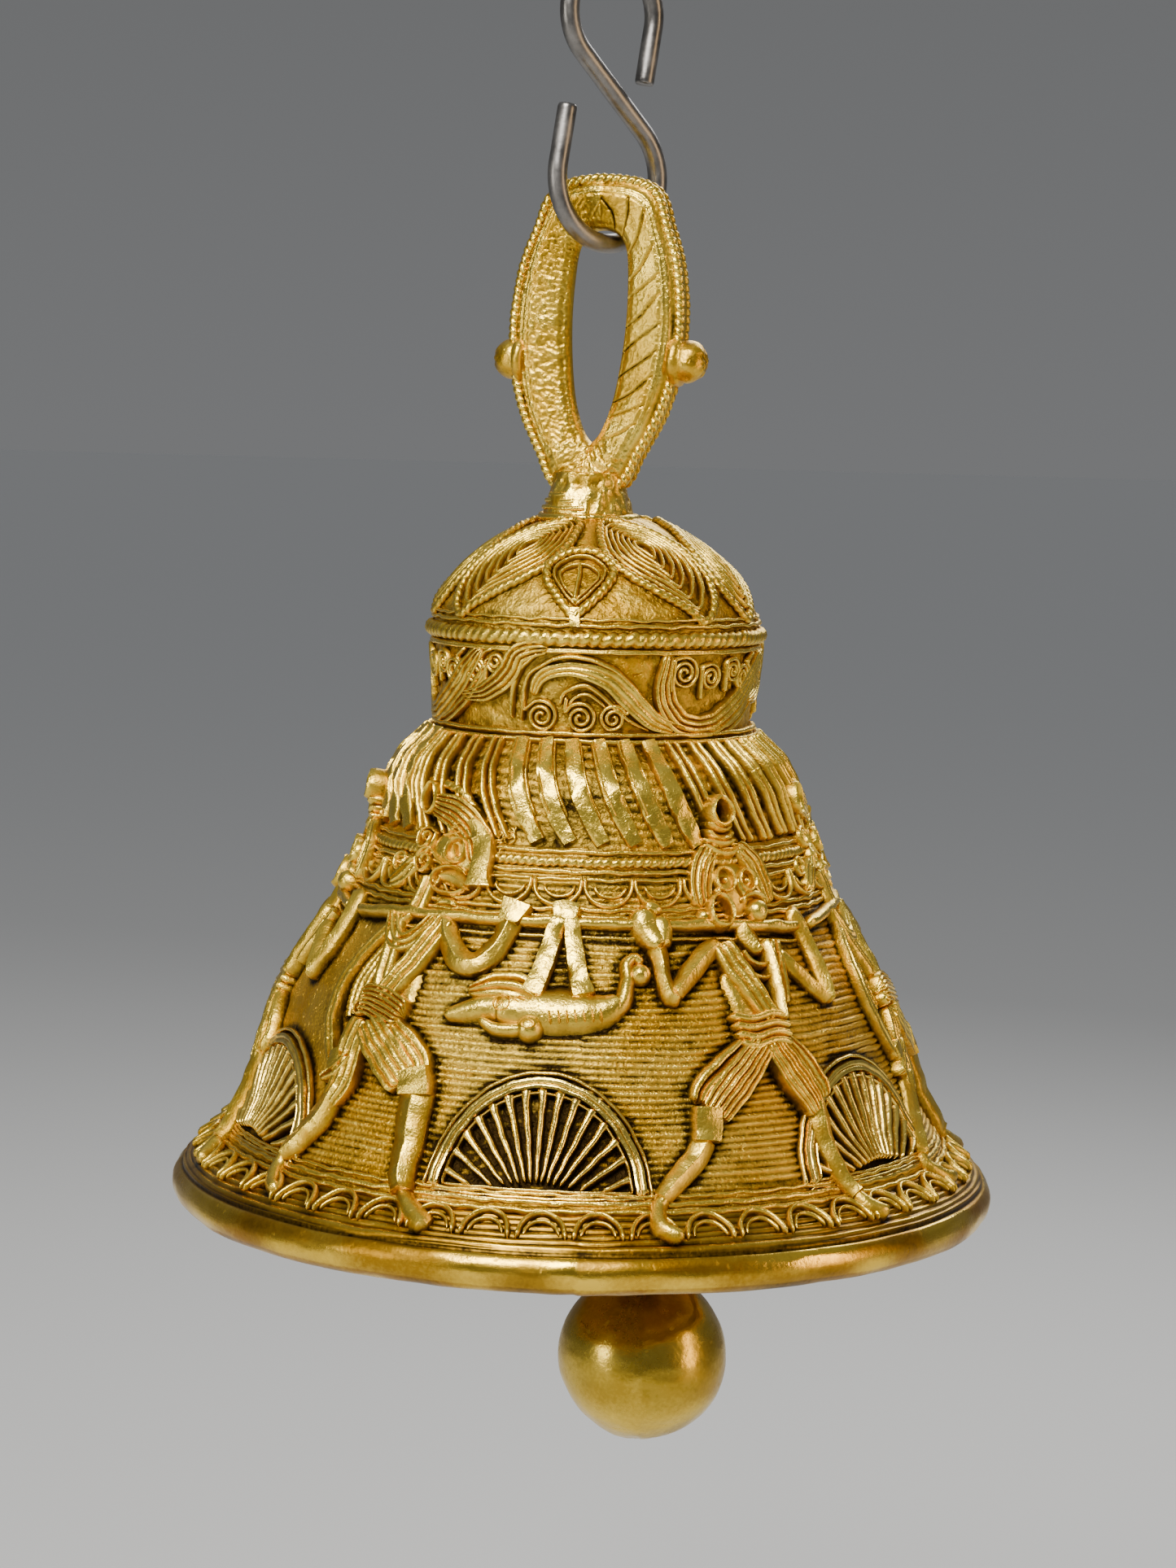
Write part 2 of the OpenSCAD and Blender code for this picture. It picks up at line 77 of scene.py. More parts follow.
camera_data = bpy.data.cameras.new("viewpoint")
camera_data.sensor_width = 36.0
camera_data.lens = 76.97
camera = put_in_scene("viewpoint", camera_data)
camera.matrix_world = (Matrix.Translation((0, -VIEW_DISTANCE * MM, RIM_Z + VIEW_HEIGHT * MM))
                       @ Matrix.Rotation(math.radians(VIEW_TURN), 4, "Z")
                       @ Matrix.Rotation(math.radians(90 - VIEW_DOWN), 4, "X")
                       @ Matrix.Rotation(math.radians(VIEW_LEAN), 4, "Z"))
bpy.context.scene.camera = camera

# ---- Bell body -------------------------------------------------------------------------------
# The flaring skirt of the casting: brass 4 mm thick, cast round a clay core. Its outside was
# wound with thin wax threads before casting, and they came out as fine level ridges.

# Height and radius of the outside of the whole shell, from the lip up to the edge of the dome
OUTLINE = [(7.9, 78.5), (14, 69.5), (21.8, 65.08), (31.4, 61.52), (41, 58.1), (48.8, 54.25),
           (54.8, 50.26), (60.2, 46.84), (66.2, 43.85), (74, 41), (74.01, 40.4), (78, 39.6),
           (84, 38.6), (88, 36.4), (91, 33), (94, 30.0), (101.6, 30.4), (108.25, 31.1),
           (113, 31.5), (115.5, 31.1), (118, 30.1), (121, 28.1), (124, 25.6), (127, 22.3),
           (129.6, 18.6), (131.8, 14.6), (133.4, 10.6), (134.4, 6.6), (134.9, 2.0), (135, 0.05)]
BODY_FOOT = 14.0
BODY_TOP = 74.0
NECK_TOP = 113.0
EASED_TO = 131
EASE_OVER = 21
WALL = 4.0
shell_heights = np.arange(OUTLINE[0][0], OUTLINE[-1][0], 0.1)
raw_radii = np.interp(shell_heights, *np.array(OUTLINE).T)
padded_radii = np.pad(raw_radii, EASE_OVER // 2, mode="reflect", reflect_type="odd")
eased_radii = np.convolve(padded_radii, np.ones(EASE_OVER) / EASE_OVER, mode="valid")
shell_radii = np.where(shell_heights < EASED_TO, eased_radii, raw_radii)


def shell_radius(height):
    return np.interp(height, shell_heights, shell_radii)


def mm_per_degree(height):
    return float(shell_radius(height)) * math.pi / 180


def unit(directions):
    return directions / np.maximum(np.linalg.norm(directions, axis=-1, keepdims=True), 1e-9)


def round_axis(angle, radius, height):
    """Points round the bell's axis, at angles counted from the front."""
    return np.stack([radius * np.sin(angle), -radius * np.cos(angle), height + 0 * radius], -1)


def on_shell(azimuth, height, lift=0.0):
    """Points on the shell, azimuth 0 in front, and the outward direction at each."""
    angle = np.radians(azimuth)
    slope = (shell_radius(height + 0.4) - shell_radius(height - 0.4)) / 0.8
    out = unit(np.stack([np.sin(angle), -np.cos(angle), -slope], -1))
    place = round_axis(angle, shell_radius(height), height)
    return place + out * np.asarray(lift)[..., None], out


def lumps(across, up, cell, seed):
    """Smooth random hills from -1 to 1 with one hill in each cell; across may wrap at 360."""
    cells = 512
    table = np.random.default_rng(seed).uniform(-1, 1, (cells, cells))
    x = np.asarray(across) / cell
    y = np.asarray(up) / cell
    x0 = np.floor(x).astype(int)
    y0 = np.floor(y).astype(int)
    fx = x - x0
    fy = y - y0
    fx = fx * fx * (3 - 2 * fx)
    fy = fy * fy * (3 - 2 * fy)
    low = table[y0 % cells, x0 % cells] * (1 - fx) + table[y0 % cells, (x0 + 1) % cells] * fx
    high = (table[(y0 + 1) % cells, x0 % cells] * (1 - fx)
            + table[(y0 + 1) % cells, (x0 + 1) % cells] * fx)
    return low * (1 - fy) + high * fy


def faces_between(rows, sides, closed=False):
    """Faces between neighbouring rings of points; closed joins the last ring to the first."""
    i, k = np.meshgrid(np.arange(rows - (not closed)), np.arange(sides), indexing="ij")
    i2 = (i + 1) % rows
    k2 = (k + 1) % sides
    faces = np.stack([i * sides + k, i * sides + k2, i2 * sides + k2, i2 * sides + k], -1)
    return faces.reshape(-1, 4)


def turned(profile, rise, tone):
    """A closed profile of (radius, height) turned about the axis, with its skin raised by rise."""
    rows, around = rise.shape
    angle = np.radians(np.arange(around) * 360 / around)
    along = np.roll(profile, -1, 0) - np.roll(profile, 1, 0)
    out = unit(np.stack([along[:, 1], -along[:, 0]], 1))
    points = round_axis(angle, profile[:, 0, None] + out[:, 0, None] * rise,
                        profile[:, 1, None] + out[:, 1, None] * rise)
    return points.reshape(-1, 3), faces_between(rows, around, True), [], tone.reshape(-1)


def wall_ring(heights, relief, tone, seed):
    """One stage of the cast wall: the given outside, and a plainer inside WALL further in."""
    around = relief.shape[1]
    inner_heights = np.linspace(heights[-1], heights[0], max(8, len(heights) // 8))
    outer = np.stack([shell_radius(heights), heights], 1)
    inner = np.stack([shell_radius(inner_heights) - WALL, inner_heights], 1)
    arc = np.arange(around)[None] * 300 / around
    inside = 0.16 * lumps(arc, inner_heights[:, None], 1.5, seed)
    inside += 0.2 * lumps(arc, inner_heights[:, None], 5.0, seed + 1)
    inside_tone = 0.3 + 0.15 * lumps(arc, inner_heights[:, None], 3.0, seed + 2)
    return turned(np.vstack([outer, inner]), np.vstack([relief, inside]),
                  np.vstack([tone, inside_tone]))


def turn_about(part, degrees):
    """The same part moved round the bell's axis."""
    points, quads, caps, tone = part
    c = math.cos(math.radians(degrees))
    s = math.sin(math.radians(degrees))
    return points @ np.array([[c, s, 0], [-s, c, 0], [0, 0, 1]]), quads, caps, tone


relief_made = []


def piece(name, parts, material, slot, node, body="bell"):
    """Joins parts into one object in the part's frame, ties it to its body, and hides the CAD node
    that it replaces.
    """
    firsts = np.cumsum([0] + [len(part[0]) for part in parts])
    points = np.concatenate([part[0] for part in parts]) * MM
    points[:, 2] += RIM_Z
    quads = np.concatenate([part[1] + first for part, first in zip(parts, firsts)])
    caps = [cap + first for part, first in zip(parts, firsts) for cap in part[2]]
    corners = np.concatenate([quads.ravel()] + caps).astype(np.int32)
    sizes = np.concatenate([np.full(len(quads), 4), [len(c) for c in caps]]).astype(np.int32)
    starts = np.concatenate([[0], np.cumsum(sizes)[:-1]]).astype(np.int32)
    mesh = bpy.data.meshes.new(name)
    mesh.vertices.add(len(points))
    mesh.vertices.foreach_set("co", points.astype(np.float32).ravel())
    mesh.loops.add(len(corners))
    mesh.loops.foreach_set("vertex_index", corners)
    mesh.polygons.add(len(sizes))
    mesh.polygons.foreach_set("loop_start", starts)
    mesh.polygons.foreach_set("loop_total", sizes)
    mesh.polygons.foreach_set("use_smooth", np.ones(len(sizes), bool))
    mesh.update(calc_edges=True)
    mesh.validate()
    tones = np.concatenate([part[3] for part in parts]).astype(np.float32)
    mesh.attributes.new("tone", "FLOAT", "POINT").data.foreach_set("value", tones)
    mesh.materials.append(material)
    made = put_in_scene(name, mesh)
    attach(made, body)
    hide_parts(node)
    if slot in ("relief_brass", "dark_fan"):
        relief_made.append(made)
        mesh.set_sharp_from_angle(angle=math.radians(52))
    return made


# Two effects that every brass finish shares. The first is the skin of a clay-mould casting:
# small round grains and a few pits. The second darkens hollows and brightens rubbed ridges.
def add_node(tree, kind, inputs, **settings):
    """A shader node, each of its inputs given a value or linked to another node's output."""
    made = tree.nodes.new("ShaderNode" + kind)
    for name, value in settings.items():
        setattr(made, name, value)
    for name, value in inputs.items():
        if isinstance(value, bpy.types.NodeSocket):
            tree.links.new(value, made.inputs[name])
        else:
            made.inputs[name].default_value = value
    return made


def object_place(tree, stretch=None):
    """Coordinates fixed to the object, stretched by three factors where they are given."""
    place = tree.nodes.new("ShaderNodeTexCoord").outputs["Object"]
    if stretch:
        place = add_node(tree, "Mapping", {"Vector": place, "Scale": stretch}).outputs[0]
    return place


def noise(tree, scale, detail, place, roughness=0.55):
    return add_node(tree, "TexNoise", {"Scale": scale, "Detail": detail, "Vector": place,
                                       "Roughness": roughness}).outputs["Fac"]


def maths(tree, operation, *values):
    return add_node(tree, "Math", dict(enumerate(values)), operation=operation).outputs[0]


def mapped(tree, value, low, high, to_low=0.0, to_high=1.0):
    return add_node(tree, "MapRange", {"Value": value, "From Min": low, "From Max": high,
                                       "To Min": to_low, "To Max": to_high}).outputs["Result"]


def blend_colours(tree, share, first, second):
    return add_node(tree, "Mix", {0: share, 6: first, 7: second}, data_type="RGBA").outputs[2]


def effect_group(name, numbers, colours, gives):
    """An empty shared effect, with its named inputs and outputs."""
    group = bpy.data.node_groups.new(name, "ShaderNodeTree")
    sockets = [(label, "INPUT", "Float") for label in numbers]
    sockets += [(label, "INPUT", "Color") for label in colours]
    sockets += [(label, "OUTPUT", kind) for label, kind in gives.items()]
    for label, way, kind in sockets:
        socket = group.interface.new_socket(name=label, in_out=way,
                                            socket_type="NodeSocket" + kind)
        if label in numbers:
            socket.default_value = numbers[label]
    return (group, group.nodes.new("NodeGroupInput").outputs,
            group.nodes.new("NodeGroupOutput").inputs)


cast_skin, skin_in, skin_out = effect_group("cast skin", {"Grain Size": 1.0}, (),
                                            {"Grain": "Float", "Pits": "Float"})
skin_place = add_node(cast_skin, "VectorMath", {0: object_place(cast_skin),
                                                "Scale": skin_in["Grain Size"]},
                      operation="SCALE").outputs[0]
grains = noise(cast_skin, 1500, 3, skin_place)
hills = noise(cast_skin, 420, 2, skin_place)
pits = mapped(cast_skin, noise(cast_skin, 900, 1, skin_place), 0.34, 0.24)
grains = maths(cast_skin, "MULTIPLY_ADD", hills, 0.7, grains)
cast_skin.links.new(maths(cast_skin, "MULTIPLY_ADD", pits, -0.6, grains), skin_out["Grain"])
cast_skin.links.new(pits, skin_out["Pits"])

old_brass, brass_in, brass_out = effect_group("old brass", {"Tone": 0.5, "Grime": 0.2},
                                              ("Hollow", "Ground", "Ridge"),
                                              {"Color": "Color", "Polish": "Float"})
brass_place = object_place(old_brass)
broad = noise(old_brass, 38, 3, brass_place)
patches = noise(old_brass, 210, 4, brass_place, 0.65)
specks = noise(old_brass, 1300, 2, brass_place)
broken = maths(old_brass, "MULTIPLY_ADD", specks, 0.35, brass_in["Tone"])
broken = maths(old_brass, "MULTIPLY_ADD", patches, 0.4, broken)
broken = maths(old_brass, "SUBTRACT", broken, 0.375)
grimed = maths(old_brass, "MULTIPLY_ADD", brass_in["Grime"], -0.6, broken)
lift_mask = mapped(old_brass, grimed, -0.16, 0.36)
ridge_mask = mapped(old_brass, broken, 0.4, 0.92)
warm_share = mapped(old_brass, broad, 0.35, 0.68)
warm_ground = add_node(old_brass, "HueSaturation", {"Hue": 0.478, "Saturation": 1.08,
                                                    "Value": 0.86, "Color": brass_in["Ground"]})
ground_colour = blend_colours(old_brass, warm_share, brass_in["Ground"],
                              warm_ground.outputs["Color"])
low_colour = blend_colours(old_brass, lift_mask, brass_in["Hollow"], ground_colour)
old_brass.links.new(blend_colours(old_brass, ridge_mask, low_colour, brass_in["Ridge"]),
                    brass_out["Color"])
old_brass.links.new(ridge_mask, brass_out["Polish"])


def new_material(name):
    """A new material, its node tree and the inputs of its shader."""
    material = bpy.data.materials.new(name)
    material.use_nodes = True
    return material, material.node_tree, material.node_tree.nodes["Principled BSDF"].inputs


def add_relief(tree, height, strength, distance):
    """Bumps the surface, on top of any relief that it already has."""
    normal = tree.nodes["Principled BSDF"].inputs["Normal"]
    inputs = {"Height": height, "Strength": strength, "Distance": distance}
    if normal.is_linked:
        inputs["Normal"] = normal.links[0].from_socket
    tree.links.new(add_node(tree, "Bump", inputs).outputs["Normal"], normal)


def brass_finish(name, hollow, ground, ridge, grime, dull, shiny, grain_size, bump):
    """A brass material: colours of hollow, ground and ridge, and how rough the last two are."""
    material, tree, shader = new_material(name)
    shader["Metallic"].default_value = 1.0
    tone = add_node(tree, "Attribute", {}, attribute_name="tone").outputs["Fac"]
    brass = add_node(tree, "Group", {}, node_tree=old_brass)
    for label, value in (("Grime", grime), ("Hollow", (*hollow, 1)), ("Ground", (*ground, 1)),
                         ("Ridge", (*ridge, 1))):
        brass.inputs[label].default_value = value
    skin = add_node(tree, "Group", {}, node_tree=cast_skin)
    skin.inputs["Grain Size"].default_value = grain_size
    tree.links.new(tone, brass.inputs["Tone"])
    tree.links.new(brass.outputs["Color"], shader["Base Color"])
    rough = mapped(tree, brass.outputs["Polish"], 0, 1, dull, shiny)
    rough = maths(tree, "MULTIPLY_ADD", skin.outputs["Pits"], 0.15, rough)
    tree.links.new(rough, shader["Roughness"])
    add_relief(tree, skin.outputs["Grain"], bump, 0.0004)
    return material


DARK = (0.02, 0.011, 0.003)
ground_brass = brass_finish("ground brass", DARK, (0.66, 0.43, 0.05), (0.93, 0.66, 0.09), 0.05,
                            0.46, 0.27, 1.0, 0.8)

THREAD_PITCH = 1.17
FAN_FOOT = 15.4
FAN_RADIUS = 21.0
FAN_TURN = -6.8


def near(azimuth, centre):
    """Signed degrees from centre, the short way round."""
    return (azimuth - centre + 180) % 360 - 180


def fan_share(azimuth, height):
    """1 inside the half rounds where the sun fans sit, 0 outside."""
    offset = near((azimuth - FAN_TURN + 30) % 60 - 30, 0) * mm_per_degree(FAN_FOOT)
    distance = np.hypot(offset, height - FAN_FOOT)
    return np.clip((FAN_RADIUS - 1.2 - distance) / 0.8, 0, 1) * (height > FAN_FOOT - 1)


def patch_share(azimuth, height):
    """1 where one side of the skirt was left without threads and rubbed smooth."""
    ragged = 2.6 * lumps(azimuth, height, 4.0, 11)
    across = np.clip((19 + ragged - np.abs(near(azimuth, -66))) / 2.5, 0, 1)
    return across * np.clip((height - 15) / 2, 0, 1) * np.clip((61 - height) / 2, 0, 1)


AROUND = 320
body_heights = np.linspace(BODY_FOOT - 0.4, BODY_TOP + 0.2, 276)
body_az, body_h = np.meshgrid(np.arange(AROUND) * 360 / AROUND, body_heights)
slow = 0.34 * lumps(body_az, body_h, 17.0, 3) + 0.16 * lumps(body_az * 0.9, body_h, 5.0, 4)
thread_count = (body_h - 16) / THREAD_PITCH + slow
thread_ridge = np.abs(np.sin(math.pi * thread_count))
thread_number = np.floor(thread_count)
uneven = 0.85 + 0.4 * lumps(body_az * 0.8 + thread_number * 37, thread_number, 7.0, 5)
in_fan = fan_share(body_az, body_h)
in_patch = patch_share(body_az, body_h)
plain = np.maximum(in_fan, in_patch)
arc = body_az * 0.95
coarse_skin = 0.12 * lumps(arc, body_h, 1.3, 6) + 0.1 * lumps(arc, body_h, 2.6, 7)
body_relief = 0.54 * thread_ridge ** 0.7 * uneven * (1 - plain) - 0.35 * in_fan
body_relief += coarse_skin * (0.4 + 0.6 * plain)
body_tone = (0.74 * thread_ridge ** 0.75 * uneven - 0.08 + 0.7 * coarse_skin) * (1 - plain)
body_tone += in_patch * (0.36 + 0.2 * lumps(arc, body_h, 6.0, 8))
body_tone += in_fan * (0.06 + 0.6 * lumps(arc, body_h, 1.0, 9))
# the grooves are made darker in a round patch in front, below the animal
dark_below_animal = np.clip(1 - np.hypot(near(body_az, -2) * 0.75, body_h - 35) / 17, 0, 1)
body_tone -= 0.22 * dark_below_animal * (1 - thread_ridge) + 0.05 * dark_below_animal
grounds = [piece("bell_body_wound", [wall_ring(body_heights, body_relief, body_tone, 20)],
                 ground_brass, "cast_ground", "bell_body")]

# ---- Lip -------------------------------------------------------------------------------------
# The mouth of the bell: a heavy round bead under a short slope, filed smooth after casting and
# worn bright by handling. File marks run round it.
RIM_R = 80.4
BEAD_WIDE = 4.0
BEAD_TALL = 4.2
SLOPE_TOP = (69.4, 14.0)
SLOPE_FOOT = (78.3, 8.05)
SLOPE_ROWS = 44
LIP_AROUND = 480
bead_turn = np.radians(np.arange(56, -91, -6))
bead_line = np.stack([RIM_R - BEAD_WIDE + BEAD_WIDE * np.cos(bead_turn),
                      BEAD_TALL + 0.05 + BEAD_TALL * np.sin(bead_turn)], 1)
slope_share = np.linspace(0, 1, SLOPE_ROWS)
slope_line = np.stack([top + (foot - top) * slope_share
                       for top, foot in zip(SLOPE_TOP, SLOPE_FOOT)], 1)
inner_line = np.array([(74, 0.05), (71, 0.4), (68.4, 1.1), (66.6, 2.4), (65.7, 4.4), (65.5, 8),
                       (65.5, 14)])
lip_profile = np.vstack([slope_line, bead_line, inner_line])[::-1]
lip_az = np.arange(LIP_AROUND)[None] * 360 / LIP_AROUND
lip_run = np.arange(len(lip_profile))[:, None]
lip_relief = 0.2 * lumps(lip_az * 1.3, lip_run, 14.0, 31) - 0.22
lip_relief += 0.09 * lumps(lip_az * 1.3, lip_run, 4.0, 32) - 0.08
lip_tone = 0.62 + 0.42 * lumps(lip_az * 1.3, lip_run, 9.0, 33)
slope_wander = 0.3 * lumps(lip_az, lip_run, 11.0, 34)[-SLOPE_ROWS:]
slope_thread = np.abs(np.sin(math.pi * (slope_share[::-1, None] * 7.4 + slope_wander)))
lip_relief[-SLOPE_ROWS:] += 0.5 * slope_thread ** 0.7
lip_tone[-SLOPE_ROWS:] = (0.66 * slope_thread - 0.04
                          + 0.2 * lumps(lip_az, lip_run[-SLOPE_ROWS:], 5.0, 35))
# the groove between bead and slope, the plain inside, and painted shade on the underside of the
# bead
groove_rows = slice(-SLOPE_ROWS - 1, -SLOPE_ROWS + 1)
lip_relief[groove_rows] -= 0.35
lip_tone[groove_rows] = -0.05
lip_tone[:len(inner_line)] = 0.36
# painted shade: the lowest rows of the bead, which face down, are made darker
lip_tone[len(inner_line):len(inner_line) + 9] -= 0.25


def add_filing(material, around, up, strength):
    """Fine marks left by a file or a cloth, long one way and short the other."""
    tree = material.node_tree
    marks = noise(tree, 1, 5, object_place(tree, (around, around, up)), 0.7)
    add_relief(tree, marks, strength, 0.00012)


lip_brass = brass_finish("filed lip brass", DARK, (0.40, 0.24, 0.025), (0.88, 0.58, 0.06), 0.0,
                         0.36, 0.15, 0.8, 0.12)
add_filing(lip_brass, 60, 1600, 0.25)
grounds.append(piece("lip_ring_filed", [turned(lip_profile, lip_relief, lip_tone)], lip_brass,
                     "polished_lip", "lip_ring"))

# ---- Scallops round the lip ------------------------------------------------------------------
# A row of little standing arches on the slope of the lip, each bent from one thread of wax with
# a finer thread inside it, under three level threads that close the lip off from the skirt.


def sway(run, seed, wave=7.0):
    """The small wandering of something laid by hand, from -1 to 1 along its run."""
    start = np.random.default_rng(seed).uniform(0, 2 * math.pi, 3)
    waves = [np.sin(run * 2 * math.pi / (wave * k) + s) for k, s in zip((1, 0.61, 1.7), start)]
    return sum(waves) / 3


def bent(a, b, c, d, share):
    """The smooth line from b to c of a curve that comes from a and goes on to d."""
    return 0.5 * (2 * b + (c - a) * share + (2 * a - 5 * b + 4 * c - d) * share ** 2
                  + (3 * b - a - 3 * c + d) * share ** 3)


def run_along(line):
    """The distance along a line at each of its points."""
    return np.concatenate([[0], np.cumsum(np.linalg.norm(np.diff(line, axis=0), axis=1))])


def laid(stations, step, lift, loose, seed):
    """A smooth middle line on the shell through (azimuth, height, share of width) stations.

    Gives its shares of width, run, places, outward and sideways directions, in even steps.
    """
    line = np.array([(*s, 1)[:3] for s in stations], float)
    share = np.linspace(0, 1, 12, endpoint=False)[:, None]
    ends = np.vstack([2 * line[0] - line[1], line, 2 * line[-1] - line[-2]])
    spans = [bent(*four, share) for four in zip(ends, ends[1:], ends[2:], ends[3:])]
    line = np.vstack(spans + [line[-1:]])
    run = run_along(on_shell(line[:, 0], line[:, 1])[0])
    even = np.linspace(0, run[-1], max(4, int(run[-1] / step) + 1))
    azimuth, height, wide = (np.interp(even, run, line[:, k]) for k in range(3))
    centre, out = on_shell(azimuth, height, np.full(len(even), lift))
    side = unit(np.cross(unit(np.gradient(centre, axis=0)), out))
    return wide, even, centre + side * (loose * sway(even, seed))[:, None], out, side


def section_of(ribs, square, valley):
    """The top outline of a strip across its width: ribs side by side, or one ridged or flat."""
    if ribs == 1 and square < 1.7:
        u = np.array([-1, -0.96, -0.88, -0.45, -0.07, 0, 0.07, 0.45, 0.88, 0.96, 1])
        return u, np.array([0, 0.4, 0.55, 0.77, 0.975, 1, 0.975, 0.8, 0.6, 0.45, 0])
    if ribs == 1 and square > 3:
        u = np.array([-1, -0.95, -0.86, -0.45, 0, 0.45, 0.86, 0.95, 1])
        return u, np.array([0, 0.72, 0.93, 0.985, 1, 0.985, 0.93, 0.72, 0])
    per_rib = 6 if ribs == 1 else 4
    u = np.linspace(-1, 1, ribs * per_rib + 1)
    x = np.abs((u + 1) / 2 * ribs % 1 * 2 - 1)
    low = 0.0 if ribs == 1 else valley
    y = low + (1 - low) * np.maximum(0, 1 - x ** square) ** (1 / square)
    y[[0, -1]] = 0.0
    return u, y * (1 - 0.12 * u ** 2)


def rings_round(centre, side, out, sideways, outward):
    """Rings of points at distances sideways and outward from a middle line."""
    return (centre[:, None] + side[:, None] * sideways[..., None]
            + out[:, None] * outward[..., None])


def tube(rings, tone):
    """A part made of rings of points, closed by a cap at each end."""
    steps, sides = rings.shape[:2]
    caps = [np.arange(sides)[::-1], np.arange(sides) + (steps - 1) * sides]
    return rings.reshape(-1, 3), faces_between(steps, sides), caps, tone.ravel()


def strip(stations, width, height, ribs=1, square=2.2, valley=0.4, up=0.0, seed=1, step=0.6,
          cut=False, loose=0.1, filed=0.1):
    """A strip of wax laid along stations on the shell: threads side by side, or one flat band."""
    wide, run, centre, out, side = laid(stations, step, up, loose, seed)
    ease = np.minimum(run, run[-1] - run) / (0.5 * min(width, 2.0))
    ease = np.ones_like(run) if cut else np.sqrt(1 - (1 - np.clip(ease, 0, 1)) ** 2) * 0.85 + 0.15
    half = width / 2 * wide * (1 + 0.04 * sway(run, seed + 1)) * ease
    tall = height * (1 + 0.05 * sway(run, seed + 2)) * (ease * 0.6 + 0.4)
    u, y = section_of(ribs, square, valley)
    stroke = np.round(1.8 * sway(run, seed + 4, 9.0)) / 1.8 * (ribs == 1)
    facet = 1 + (filed * stroke)[:, None] * u * (y > 0)
    top = rings_round(centre, side, out, half[:, None] * u, tall[:, None] * y * facet)
    foot = np.array([0.8, -0.8])
    under = rings_round(centre, side, out, half[:, None] * foot, np.full((1, 2), -0.8 - up))
    worn = np.concatenate([y ** 1.5, [-0.1, -0.1]])
    tone = worn[None] * (0.9 + 0.2 * sway(run, seed + 3, 4.0))[:, None]
    return tube(np.concatenate([top, under], 1), tone)


def round_stations(azimuth, height, across, tall, start, stop, count, shrink=1.0):
    """Stations round an oval in millimetres about a centre, from start to stop degrees."""
    degree = mm_per_degree(height)
    share = np.linspace(0, 1, count)
    angle = np.radians(start + (stop - start) * share)
    size = 1 + (shrink - 1) * share
    return [(azimuth + across * s * math.cos(a) / degree, height + tall * s * math.sin(a))
            for a, s in zip(angle, size)]


def level_thread(height, width, tall, seed, loose=0.1):
    """A thread that runs level all round the bell."""
    return strip(level_ring(height), width, tall, seed=seed, cut=True, loose=loose)


def level_ring(height):
    return [(a, height) for a in range(-180, 181, 15)]


relief_brass = brass_finish("relief brass", DARK, (0.56, 0.36, 0.04), (0.94, 0.66, 0.08), 0.04,
                            0.42, 0.24, 1.2, 0.3)
add_filing(relief_brass, 500, 500, 0.15)


def relief_piece(name, parts, node):
    return piece(name, parts, relief_brass, "relief_brass", node)


LIP_SCALLOPS = 47
lip_parts = []
for k in range(LIP_SCALLOPS):
    turn = k * 360 / LIP_SCALLOPS + 2.4
    lip_parts += [strip(round_stations(turn, 9.6, 4.35, 3.3, 0, 180, 9), 1.05, 1.1,
                        seed=100 + k, up=0.3),
                  strip(round_stations(turn, 9.8, 3.2, 2.1, 8, 172, 8), 0.75, 0.6,
                        seed=200 + k, up=0.3)]
for level, thick in ((13.3, 1.25), (14.6, 1.5), (15.9, 1.0)):
    lip_parts.append(level_thread(level, thick, 0.9, int(level * 10), 0.25))
relief_piece("lip_scallops_threads", lip_parts, "lip_scallops")

# ---- Shoulder --------------------------------------------------------------------------------
# The rounded shoulder above the skirt, as cast, with faint level threads left between the strips
# that lean across it. The strips were cut flat from sheet wax and filed bright on the bell.
NECK_FOOT = 94.0
shoulder_heights = np.linspace(BODY_TOP - 0.2, NECK_FOOT + 0.2, 76)
sh_az, sh_h = np.meshgrid(np.arange(AROUND) * 360 / AROUND, shoulder_heights)
faint = np.abs(np.sin(math.pi * (sh_h / 1.55 + sh_az / 26 + 0.3 * lumps(sh_az, sh_h, 6.0, 41))))
faint = faint ** 1.6 * np.clip(0.6 + 0.8 * lumps(sh_az, sh_h, 9.0, 42), 0, 1)
sh_skin = 0.12 * lumps(sh_az * 0.7, sh_h, 0.9, 43) + 0.12 * lumps(sh_az * 0.7, sh_h, 2.4, 44)
grounds.append(piece("shoulder_shell_cast",
                     [wall_ring(shoulder_heights, 0.26 * faint + sh_skin,
                                0.1 + 0.5 * faint + 1.4 * sh_skin, 45)],
                     ground_brass, "cast_ground", "shoulder_shell"))

SHOULDER_STRIPS = 42
GROUP_TURNS = (0, 120, -120)
chance = np.random.default_rng(47)
shoulder_parts = []
for k in range(SHOULDER_STRIPS):
    turn = k * 360 / SHOULDER_STRIPS - 1.5
    fine = -60 < near(turn, 0) < -24 or 27 < near(turn, 0) < 110 or abs(near(turn, 180)) < 36
    end = 74.9 + chance.uniform(-0.4, 0.5)
    lean = [(turn - 5.6, 92.9, 0.85), (turn - 4.4, 89.6, 0.95), (turn - 2.2, 85, 1.05),
            (turn + 1.0, 80, 1.05), (turn + 4.8, end, 0.85)]
    if fine:
        for shift, thick in ((-1.9, 1.5), (0.9, 1.35)):
            moved = [(a + shift, h, s) for a, h, s in lean]
            shoulder_parts.append(strip(moved, thick, 1.7, seed=300 + k * 3 + int(shift)))
    else:
        shoulder_parts.append(strip(lean, 3.35, 1.5, square=6, seed=300 + k * 3, cut=True,
                                    filed=0.35))
        if k % 3:
            groove = [(a - 1.5, h, s) for a, h, s in lean[:4]]
            shoulder_parts.append(strip(groove, 0.7, 1.75, seed=302 + k * 3))
        beside = [(a + 2.75, h, s) for a, h, s in lean[:-1]]
        shoulder_parts.append(strip(beside, 0.8, 0.9, seed=301 + k * 3))
